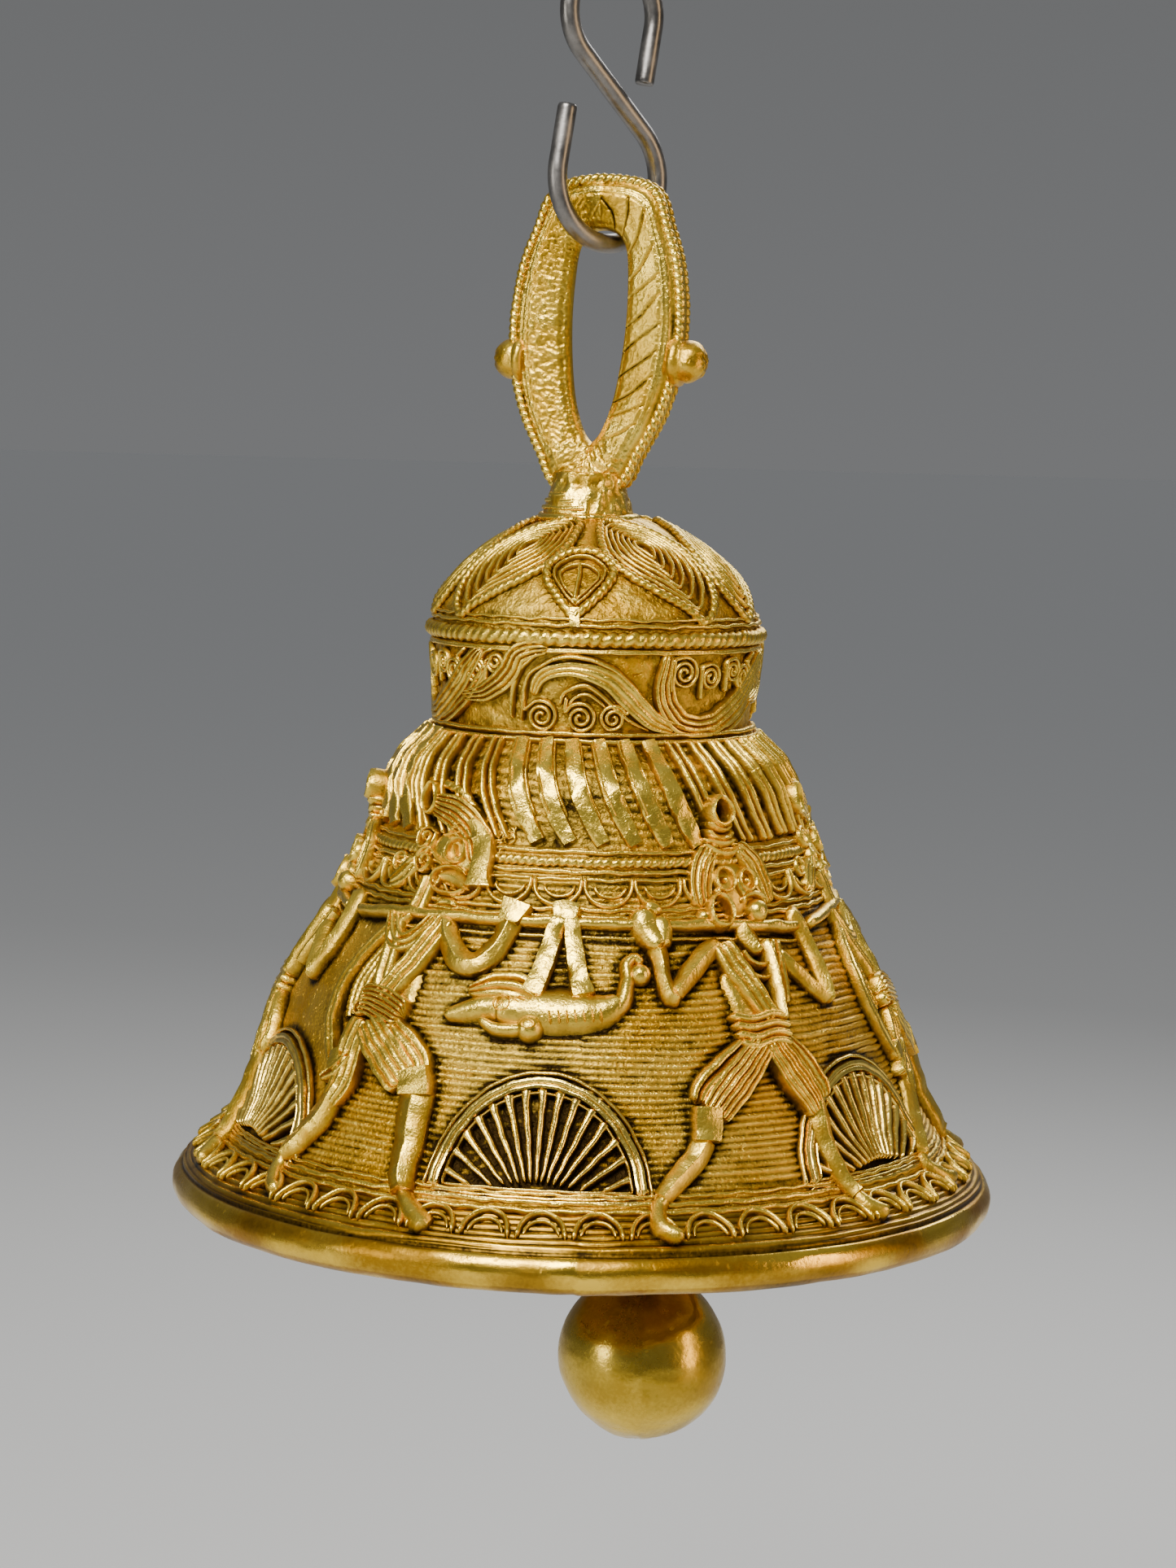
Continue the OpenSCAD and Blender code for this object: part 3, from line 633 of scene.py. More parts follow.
for turn in GROUP_TURNS:
    for k in range(26):
        azimuth = turn + chance.uniform(-31, -21)
        level = chance.uniform(72.6, 78.5)
        bend_start = chance.uniform(0, 360)
        curl = round_stations(azimuth, level, 1.1, 1.0, bend_start,
                              bend_start + chance.uniform(120, 260), 6)
        shoulder_parts.append(strip(curl, 0.6, 0.8, seed=340 + k, step=0.4))
relief_piece("shoulder_strips_filed", shoulder_parts, "shoulder_strips")

# ---- Waist band ------------------------------------------------------------------------------
# A rope of two twisted wax threads lies between level threads at the top of the skirt, and a
# row of hanging loops below it, each a double thread that overlaps its neighbour.


def twisted_pair(centre, side, out, run, twist, radius, deep, seed, lit):
    """Rings and tone of two threads twisted together; lit is the tone's middle and its swing."""
    around = np.linspace(math.pi, -math.pi, 12, endpoint=False)[None]
    strand = np.abs(np.cos(around - twist[:, None])) ** 0.8
    swell = radius * (1 - deep + deep * strand) * (1 + 0.06 * sway(run, seed))[:, None]
    rings = rings_round(centre, side, out, swell * np.cos(around), swell * np.sin(around))
    return rings, (0.1 + 0.9 * strand) * np.clip(lit[0] + lit[1] * np.sin(around), 0, 1)


def rope(stations, radius, pitch=2.0, lift=0.5, seed=1, step=0.36, deep=0.3):
    """Two wax threads twisted together and laid along stations."""
    run, centre, out, side = laid(stations, step, radius * lift, 0.12, seed)[1:]
    twist = run * math.pi / pitch + 0.5 * sway(run, seed + 1)
    return tube(*twisted_pair(centre, side, out, run, twist, radius, deep, seed + 2, (0.35, 0.75)))


waist_parts = [rope(level_ring(71.95), 1.1, 1.5, 0.35, 401, step=0.26)]
for level, thick, tall in ((73.6, 1.1, 1.0), (70.2, 1.2, 1.15), (68.9, 1.0, 0.9)):
    waist_parts.append(level_thread(level, thick, tall, int(level), 0.2))
relief_piece("waist_rope_twisted", waist_parts, "waist_rope")

WAIST_SCALLOPS = 30
loop_parts = []
for k in range(WAIST_SCALLOPS):
    turn = (k + 0.5) * 360 / WAIST_SCALLOPS - 1.5
    hanging = round_stations(turn, 68.0, 4.15, 3.9, 184, 356, 9)
    loop_parts += [strip([(turn - 5.4, 69.3)] + hanging + [(turn + 5.6, 69.4)], 1.05, 1.5,
                         seed=420 + k, up=0.15),
                   strip(round_stations(turn + 0.4, 68.2, 2.9, 2.5, 186, 352, 8), 0.85, 1.2,
                         seed=460 + k, up=0.1)]
for level, thick in ((63.6, 1.2), (62.3, 1.3)):
    loop_parts.append(level_thread(level, thick, 1.0, int(level), 0.3))
relief_piece("waist_scallops_threads", loop_parts, "waist_scallops")

# ---- Neck drum -------------------------------------------------------------------------------
# A short waisted drum between shoulder and dome, left granular from the mould. Long leaf bands
# sweep up and over it, and thin threads wound into coils fill the gaps.
neck_heights = np.linspace(NECK_FOOT - 0.2, NECK_TOP + 0.2, 70)
nk_az, nk_h = np.meshgrid(np.arange(400) * 0.9, neck_heights)
nk_skin = 0.14 * lumps(nk_az * 0.55, nk_h, 0.8, 51) + 0.16 * lumps(nk_az * 0.55, nk_h, 2.6, 52)
grounds.append(piece("neck_drum_cast", [wall_ring(neck_heights, nk_skin, 0.42 + nk_skin, 53)],
                     ground_brass, "cast_ground", "neck_drum"))


def coil(azimuth, height, radius, turns, start, hand, width=1.0, tall=1.25, seed=1, tail=()):
    """A thread wound into a flat coil, with the tail by which it joins its neighbours."""
    wound = round_stations(azimuth, height, radius, radius, start, start + hand * 360 * turns,
                           int(turns * 10) + 2, 0.14)
    return strip(list(tail) + wound, width, tall, seed=seed, step=0.42, loose=0.04)


leaf_parts = [level_thread(94.3, 1.3, 1.4, 501), level_thread(92.8, 1.1, 1.2, 502),
              level_thread(109.9, 1.0, 0.9, 503)]
coil_parts = []
for turn in GROUP_TURNS:
    leaves = [
        strip([(-25.5, 96.6, 0.5), (-25, 101, 0.8), (-22, 105.8, 0.9), (-10, 109, 0.9),
               (4, 107.6), (13, 103.6), (22, 98.6), (34, 95.6, 0.5)], 1.3, 1.5, seed=510),
        strip([(-21.5, 101.5, 0.4), (-18.5, 105, 0.7), (-9, 106.8, 0.8), (3, 105.4, 1.1),
               (11.5, 101.8, 1.3), (20, 97.4), (29, 95.2, 0.4)], 3.7, 1.4, ribs=3, seed=511,
              valley=0.78),
        strip([(-12, 99.8, 0.8), (-10, 102.4), (-3, 103.8), (4, 101.2), (12, 97.4, 0.9),
               (20, 95.4, 0.5)], 1.15, 1.2, seed=513),
        strip([(-9, 99.6, 0.8), (-7, 101.4), (-2, 102), (4, 99.6)], 0.9, 0.9, seed=514),
        strip([(-16, 110.6, 0.6), (-26, 109.4), (-31, 105.4, 1.1), (-40, 101.8, 0.9),
               (-53, 100.4, 0.4)], 4.4, 1.5, ribs=4, seed=516, valley=0.5),
        strip([(-29.5, 97, 0.5), (-29.5, 101.5), (-26, 106.4), (-19, 109.6, 0.6)], 1.3, 1.3,
              seed=517),
        strip([(26, 109.8, 0.6), (24.5, 104, 0.9), (27, 99.4), (34, 96.4), (46, 96.6),
               (60, 100.6, 1.1), (70, 105.4), (78, 109.6, 0.5)], 4.8, 1.5, ribs=4, seed=519,
              valley=0.5),
        strip([(38, 95.2, 0.5), (50, 95), (63, 97.6), (73, 102), (82, 108, 0.6)], 2.4,
              1.3, ribs=2, seed=521)]
    coils = [
        coil(-18.4, 97.7, 3.1, 2.4, 150, -1, seed=530, tail=[(-25.2, 103), (-24.8, 99)]),
        coil(-4.6, 97.6, 3.0, 2.3, 160, -1, seed=531, tail=[(-9.6, 101.6)]),
        coil(6.6, 97.6, 2.6, 2.3, 20, 1, seed=532, tail=[(15.5, 97.6), (12.4, 99.4)]),
        coil(-57.5, 105.2, 3.0, 2.5, 60, -1, seed=533, tail=[(-50, 109.6)]),
        coil(-45, 105.4, 2.7, 2.3, 60, -1, seed=534, tail=[(-37, 109.8), (-40, 109.2)]),
        coil(-36, 107.4, 2.0, 1.9, 200, 1, seed=535, tail=[(-41, 103.4)]),
        coil(31.8, 106.2, 3.2, 2.5, 150, -1, seed=536, tail=[(27, 102.5)]),
        coil(43.4, 105.4, 2.6, 2.3, 150, -1, seed=537, tail=[(39.4, 101)]),
        coil(55, 106.4, 2.4, 2.2, 150, -1, seed=538, tail=[(51.6, 102.4)])]
    leaf_parts += [turn_about(part, turn) for part in leaves]
    coil_parts += [turn_about(part, turn) for part in coils]
relief_piece("neck_arches_leaves", leaf_parts, "neck_arches")
relief_piece("neck_spirals_coils", coil_parts, "neck_spirals")

# ---- Dome ------------------------------------------------------------------------------------
# The crown of the bell, one casting with the neck and granular from the mould. A twisted rope
# runs round its edge between fine threads.
crown_outer = np.array([(shell_radius(h), h) for h in np.linspace(NECK_TOP - 0.3, EASED_TO, 62)]
                       + [(r, h) for h, r in OUTLINE[-5:]])
crown_inner = np.array([(max(r - WALL, 0.05), h - WALL * (h - NECK_TOP) / 22)
                        for r, h in crown_outer[::-4]])
crown_profile = np.vstack([crown_outer, crown_inner])
cr_az = np.arange(360)[None]
cr_run = np.arange(len(crown_profile))[:, None] * 0.5
crown_skin = 0.14 * lumps(cr_az * 0.5, cr_run, 0.9, 61) + 0.16 * lumps(cr_az * 0.5, cr_run, 2.7, 62)
crown_skin *= np.clip(crown_profile[:, :1] / 8, 0, 1)
crown_part = turned(crown_profile, crown_skin, 0.44 + 0.9 * crown_skin)
grounds.append(piece("crown_dome_cast", [crown_part], ground_brass, "cast_ground", "crown_dome"))

relief_piece("dome_rope_twisted", [rope(level_ring(112.3), 1.6, 2.0, 0.1, 601, deep=0.28),
                                   level_thread(114.7, 1.0, 0.8, 602, 0.25),
                                   level_thread(115.8, 0.8, 0.7, 603, 0.25),
                                   level_thread(110.2, 0.9, 0.8, 604)], "dome_rope")

# ---- Leaves on the dome ----------------------------------------------------------------------
# Six leaf lobes sweep down from the foot of the handle. Each is outlined with a thin twisted
# rope and filled with threads laid side by side, close as combed hair.
LEAF_EDGE = [(8, 132.4), (8.5, 129.4), (13, 126.2), (22, 123.2), (33, 120.2), (42, 117.4),
             (47, 115.6), (52, 117.4), (56.5, 121), (58, 125), (55, 128.6), (46, 131.2),
             (30, 132.8), (15, 133.2), (8, 132.4)]
LEAF_EYE = (31, 128.8)
lobe_parts = []
for k in range(3):
    for hand in (-1, 1):
        turn = -7 + k * 120
        for n, share in enumerate((1.0, 0.83, 0.69, 0.55, 0.42, 0.29, 0.17)):
            edge = [(turn + hand * (LEAF_EYE[0] + (a - LEAF_EYE[0]) * share),
                     LEAF_EYE[1] + (h - LEAF_EYE[1]) * share) for a, h in LEAF_EDGE]
            seed = 610 + n * 8 + k * 2 + hand
            lobe_parts.append(strip(edge, 1.1 - 0.05 * n, 1.15, seed=seed, loose=0.16, cut=True,
                                    step=0.5) if n else rope(edge, 0.95, 1.5, 0.5, seed, step=0.3))
relief_piece("dome_lobes_combed", lobe_parts, "dome_lobes")

# ---- Drops on the dome -----------------------------------------------------------------------
# A drop-shaped ornament stands between the leaves at three places: a rope outline, two fine
# threads inside it, and a small bar with a cross piece in the middle.
HALF_DROP = [(0, 0), (-0.42, 0.26), (-0.86, 0.56), (-0.94, 0.78), (-0.5, 0.96), (0, 1)]
WHOLE_DROP = HALF_DROP + [(-x, y) for x, y in HALF_DROP[-2::-1]]


def drop(middle, across, tall, low):
    """Stations round a drop, from its point and back to it."""
    return [(middle + across * x / mm_per_degree(122), low + y * tall) for x, y in WHOLE_DROP]


drop_parts = []
for k in range(3):
    turn = -7.5 + k * 120
    drop_parts += [
        rope(drop(turn, 7.0, 11.6, 116.2), 1.0, 1.5, 0.5, 650 + k, step=0.3),
        strip(drop(turn, 5.3, 8.6, 118.2), 0.8, 1.0, seed=655 + k, step=0.4),
        strip(drop(turn, 3.9, 6.2, 119.2), 0.7, 0.85, seed=660 + k, step=0.4),
        strip([(turn, 125.2), (turn - 0.4, 119)], 1.1, 1.2, seed=665 + k, cut=True),
        strip([(turn - 2.6, 119.2), (turn + 2.2, 118.8)], 1.1, 1.2, seed=670 + k),
        strip([(turn, 117.6), (turn + 0.3, 114.4)], 2.2, 1.3, square=4, seed=675 + k, cut=True)]
relief_piece("dome_medallions_drops", drop_parts, "dome_medallions")

# ---- Sun fans --------------------------------------------------------------------------------
# Six half-round fans stand on the lip, one under each hunter's stride: rays of wax thread under
# an arch of four threads. The hollows between the bright rays are dark, almost black.
fan_brass = brass_finish("dark fan brass", (0.02, 0.013, 0.008), (0.42, 0.27, 0.05),
                         (0.94, 0.68, 0.12), 0.06, 0.34, 0.17, 1.3, 0.2)
FAN_PLACES = ("front", "right_front", "right_back", "back", "left_back", "left_front")
RAYS = 15
RAY_FOCUS = -4.6
RAY_REACH = 17.3
fan_degree = mm_per_degree(FAN_FOOT)


def fan_arch(turn, radius, gap, width, tall, seed, **shape):
    return strip(round_stations(turn, FAN_FOOT, radius, radius, gap, 180 - gap, 15), width, tall,
                 seed=seed, **shape)


for k, place in enumerate(FAN_PLACES):
    turn = FAN_TURN + 60 * k
    fan_parts = [
        fan_arch(turn, 20.7, 1, 1.0, 1.3, 700 + k),
        fan_arch(turn, 18.9, 1, 2.5, 1.8, 710 + k, ribs=2, valley=0.8),
        fan_arch(turn, 17.2, 3, 0.8, 1.5, 715 + k),
        strip([(turn - 19.6 / fan_degree, FAN_FOOT - 0.3), (turn, FAN_FOOT - 0.5),
               (turn + 19.6 / fan_degree, FAN_FOOT - 0.3)], 1.5, 1.0, ribs=2, seed=720 + k),
        strip([(turn - 17.4 / fan_degree, FAN_FOOT + 1.1),
               (turn + 17.4 / fan_degree, FAN_FOOT + 1.0)], 0.8, 0.9, seed=725 + k)]
    for n in range(RAYS):
        angle = math.radians(8 + 164 * n / (RAYS - 1))
        top_x = RAY_REACH * math.cos(angle)
        top_y = RAY_REACH * math.sin(angle)
        ray = []
        for share, wide in ((0.0, 2.1), (0.08, 1.4), (0.2, 1.1), (0.5, 0.95), (0.92, 0.55)):
            foot_share = top_y / (top_y - RAY_FOCUS) * share
            ray.append((turn + top_x * (1 - foot_share) / fan_degree,
                        FAN_FOOT + 0.9 + top_y * (1 - share), wide))
        fan_parts.append(strip(ray, 1.45, 1.7, square=2.6, seed=730 + n + k * 20, step=0.5))
    piece(f"sun_fan_{place}_rays", fan_parts, fan_brass, "dark_fan", "sun_fan_" + place)

# ---- Poles -----------------------------------------------------------------------------------
# Each pair of hunters shares a carrying pole, a plain thread of wax that runs level across the
# front of the skirt, with a thinner thread under it.


def on_each_side(kind, parts, made_of):
    """The same wax laid on at three places round the bell: in front, and right and left behind."""
    for turn, name in zip(GROUP_TURNS, ("front", "east", "west")):
        relief_piece(f"{kind}_{name}_{made_of}", [turn_about(part, turn) for part in parts],
                     f"{kind}_{name}")


pole_line = [(-62.5, 59.0), (-47, 60.4), (-30, 60.9), (0, 61.1), (30, 60.6), (53, 58.9)]
on_each_side("pole", [strip(pole_line, 2.7, 2.2, seed=800, up=0.3, step=0.8, filed=0.3),
                      strip([(a, h - 2.2) for a, h in pole_line[1:]], 0.9, 0.8, seed=803)],
             "thread")

# ---- First hunter ----------------------------------------------------------------------------
# A hunter in profile who strides to the right with a hand up on the pole and a bow behind. The
# figure is built of wax strips and threads: folded ones for cloth, coils for ear and curls.


def knob(azimuth, height, radius, tall, tone_top=1.0, flat=0.0):
    """A low round boss pressed on the wax."""
    centre, out = on_shell(azimuth, height)
    side = unit(np.cross(out, (0, 0, 1)))
    turn = np.linspace(0, 2 * math.pi, 20, endpoint=False)[:, None]
    round_turn = radius * (np.cos(turn) * side + np.sin(turn) * np.cross(side, out))
    rise = np.radians(np.linspace(0, 86, 9))
    wide = np.cos(rise) ** (1 - 0.4 * flat)
    rings = [centre - out * 0.8 + 0.9 * round_turn]
    rings += [centre + out * tall * math.sin(r) + w * round_turn for w, r in zip(wide, rise)]
    tone = np.concatenate([[0], np.sin(rise) * tone_top])
    points, quads, caps, tone = tube(np.array(rings), np.repeat(tone, 20))
    return points, quads[:, ::-1], [cap[::-1] for cap in caps], tone


def oval(azimuth, height, across, tall, width, thick, seed):
    """A closed ring of thread."""
    return strip(round_stations(azimuth, height, across, tall, 90, 451, 15), width, thick,
                 seed=seed, step=0.4, cut=True, loose=0.03)


on_each_side("bearer_left", [
    # headdress: a rolled loop, a ribbed wing swept forward, and its filed front
    oval(-47.0, 81.4, 1.7, 2.6, 1.2, 3.0, seed=810),
    strip([(-45.3, 80.6, 0.7), (-37.8, 79.4), (-32.6, 77.0, 1.1), (-29.2, 73.8),
           (-27.4, 70.4, 0.7)], 6.4, 2.7, ribs=6, seed=811, valley=0.66, loose=0.02),
    strip([(-31.6, 78.2, 0.5), (-28.6, 75.6, 0.9), (-26.7, 72.4), (-26.8, 69, 0.95),
           (-26.4, 66.2, 1.2)], 4.4, 3.2, square=4, seed=812, cut=True, filed=0.2),
    rope([(-43.3, 84.2), (-36.8, 83), (-31.5, 79.6), (-28.5, 76.6)], 1.0, 1.6, 0.9, 813),
    # hair and ear: two coils joined by one thread, and strands to the nape
    coil(-46.4, 73.8, 2.7, 1.9, -60, 1, 1.0, 2.2, seed=815, tail=[(-50.4, 68.6), (-46.2, 70.8)]),
    coil(-44.4, 69.8, 2.5, 1.7, 60, 1, 1.0, 2.3, seed=816, tail=[(-37.4, 69.4), (-40.8, 70.8)]),
    strip([(-54.8, 64.6, 0.6), (-51.2, 66.8), (-47.6, 69.6, 0.9)], 4.4, 2.1, ribs=3, seed=817),
    oval(-54.6, 69.2, 1.7, 1.6, 0.9, 1.5, seed=818),
    knob(-54.6, 69.2, 0.8, 1.0),
    # face: eye, cheek and the long closed mouth
    strip([(-42.5, 73.5, 0.7), (-38.5, 72.6), (-33.5, 71), (-30.4, 68.8, 0.7)], 7.5, 1.9,
          square=2.6, seed=819),
    oval(-34.4, 72.0, 2.0, 1.9, 1.15, 3.2, seed=820),
    strip([(-35.2, 73.2), (-33.6, 71.1)], 0.9, 3.2, seed=821, step=0.3),
    *[strip([(-39.4 + 0.5 * n, 74.0 + 0.7 * n), (-37.4 + 0.6 * n, 75.0 + 0.8 * n),
           (-35.2 + 0.7 * n, 74.6 + 0.8 * n)], 0.8, 2.7, seed=822 + n) for n in range(4)],
    strip([(-38, 67.2, 0.6), (-35, 67.6), (-31.8, 67), (-29, 65.4, 0.5)], 3.6, 3.0, square=1.5,
          seed=823),
    strip(round_stations(-34.6, 66.9, 4.2, 2.5, 30, 330, 12), 1.1, 2.7, seed=824, step=0.4),
    # neck and collar threads
    strip([(-41.2, 67.6), (-41.6, 64, 0.9), (-42.2, 60.4, 1.1)], 4.7, 2.3, ribs=2, seed=825,
          square=1.8),
    strip([(-48.4, 60.6, 0.6), (-45.4, 56.6), (-42.2, 55), (-38.4, 56.8), (-35.0, 60.6, 0.6)], 4.2,
          2.5, ribs=3, seed=826),
    strip([(-37.4, 62.6, 0.7), (-34.2, 63.4), (-31.2, 62.6, 0.7)], 2.3, 1.7, seed=827),
    # trunk: crossed bands down to the belt
    strip([(-32.2, 60.4, 0.8), (-35.0, 55.4), (-39.0, 48.6), (-41.4, 45, 0.9)], 5.5, 2.7, ribs=3,
          seed=828, square=1.8, valley=0.6),
    strip([(-46.4, 59.6, 0.8), (-44.2, 53.4), (-42.2, 47)], 4.4, 2.2, ribs=2, seed=829, square=1.8,
          valley=0.6),
    strip([(-36.8, 52, 0.8), (-36.6, 48), (-36.9, 44.6)], 5.6, 0.9, square=2.6, seed=830),
    # the arm bent up to the pole, and the hand over it
    strip([(-33.3, 60.4, 0.7), (-31.4, 58, 0.9), (-28.9, 55.2), (-25.9, 53.3, 1.05),
           (-22.6, 53.4, 1.05), (-19.6, 55.6), (-18.0, 58.2, 0.95), (-17.0, 61.6, 1.1)], 4.8, 2.9,
          square=1.35, seed=831, filed=0.25),
    strip([(-17.6, 60.4, 0.7), (-16.6, 62.6, 0.95), (-16.0, 64.0, 1.05)], 6.0, 3.2, square=4,
          seed=832, cut=True, filed=0.25),
    # belt of wound threads
    strip([(-45.2, 44.6, 0.8), (-42, 44.8), (-38, 44, 1.05), (-34.4, 42.8, 0.95)], 6.6, 3.4,
          ribs=7, seed=833, valley=0.7, loose=0.02),
    coil(-45.2, 43.4, 1.8, 1.6, 90, -1, 0.9, 2.8, seed=838),
    # bow slung behind, with its beaded string
    strip([(-42.6, 60.6, 0.6), (-47.2, 57.6, 0.9), (-51.4, 52.4), (-53.2, 47), (-52.8, 41.4),
           (-50.0, 36), (-47.6, 32.6, 0.6)], 3.0, 2.2, ribs=2, seed=839, valley=0.6),
    *[rope([(-44.8 + 0.3 * n, 57.6 - n), (-48.6 + 1.3 * n, 52), (-50.2 + 1.5 * n, 47),
           (-48.8 + 1.1 * n, 41.6 + 0.5 * n)], 0.85, 1.1, 0.4, 840 + 70 * n) for n in range(3)],
    strip([(-48.2, 36, 0.8), (-47.2, 33.8), (-48.0, 31.8, 0.6)], 3.4, 2.6, square=4, seed=841),
    # leading leg: folded cloth to the knee, a plain cuff, a long ridged shin and the foot
    strip([(-41.8, 41.6, 0.8), (-38.2, 38.4, 1.05), (-34.0, 34.8, 1.1), (-30.9, 32.2)], 7.4, 3.2,
          ribs=5, seed=842, valley=0.76),
    strip([(-37.2, 42, 0.7), (-33.0, 39.2), (-29.5, 36.2), (-28.4, 33.6, 0.9)], 5.7, 2.7, ribs=3,
          seed=843, valley=0.7),
    strip([(-29.4, 34.6), (-28.6, 32.2, 1.05), (-28.3, 30.2)], 6.6, 3.8, square=3.4, seed=844,
          cut=True),
    strip([(-28.4, 30.6, 1.1), (-28.2, 23.6), (-27.8, 17.4, 0.85), (-26.9, 13.8, 0.7)], 6.5, 3.3,
          square=1.5, seed=845, cut=True),
    strip([(-27.3, 14.6, 0.8), (-25.2, 12.4), (-22.6, 10.8, 1.2), (-20.8, 9.9, 0.9)], 4.4, 2.2,
          square=1.8, seed=846),
    # trailing leg
    strip([(-43.4, 41.8, 0.8), (-44.4, 36), (-44.2, 30.6, 0.9), (-46.0, 26.4, 0.7)], 7.0, 2.6,
          ribs=4, seed=847, valley=0.7),
    strip([(-49.4, 29.8, 0.5), (-46.4, 32.4), (-43.4, 35.6, 0.7)], 3.4, 2.9, ribs=2, seed=848),
    strip([(-45, 30.4, 0.8), (-47.0, 24.6), (-50, 19.4, 0.95), (-52.8, 15.6, 0.7)], 5.7, 2.8,
          square=1.5, seed=849),
    strip([(-52.8, 16.4, 0.8), (-52.4, 13.4), (-50.4, 11.6), (-48.2, 10.8, 0.7)], 3.5, 2.0,
          seed=850)], "wax")

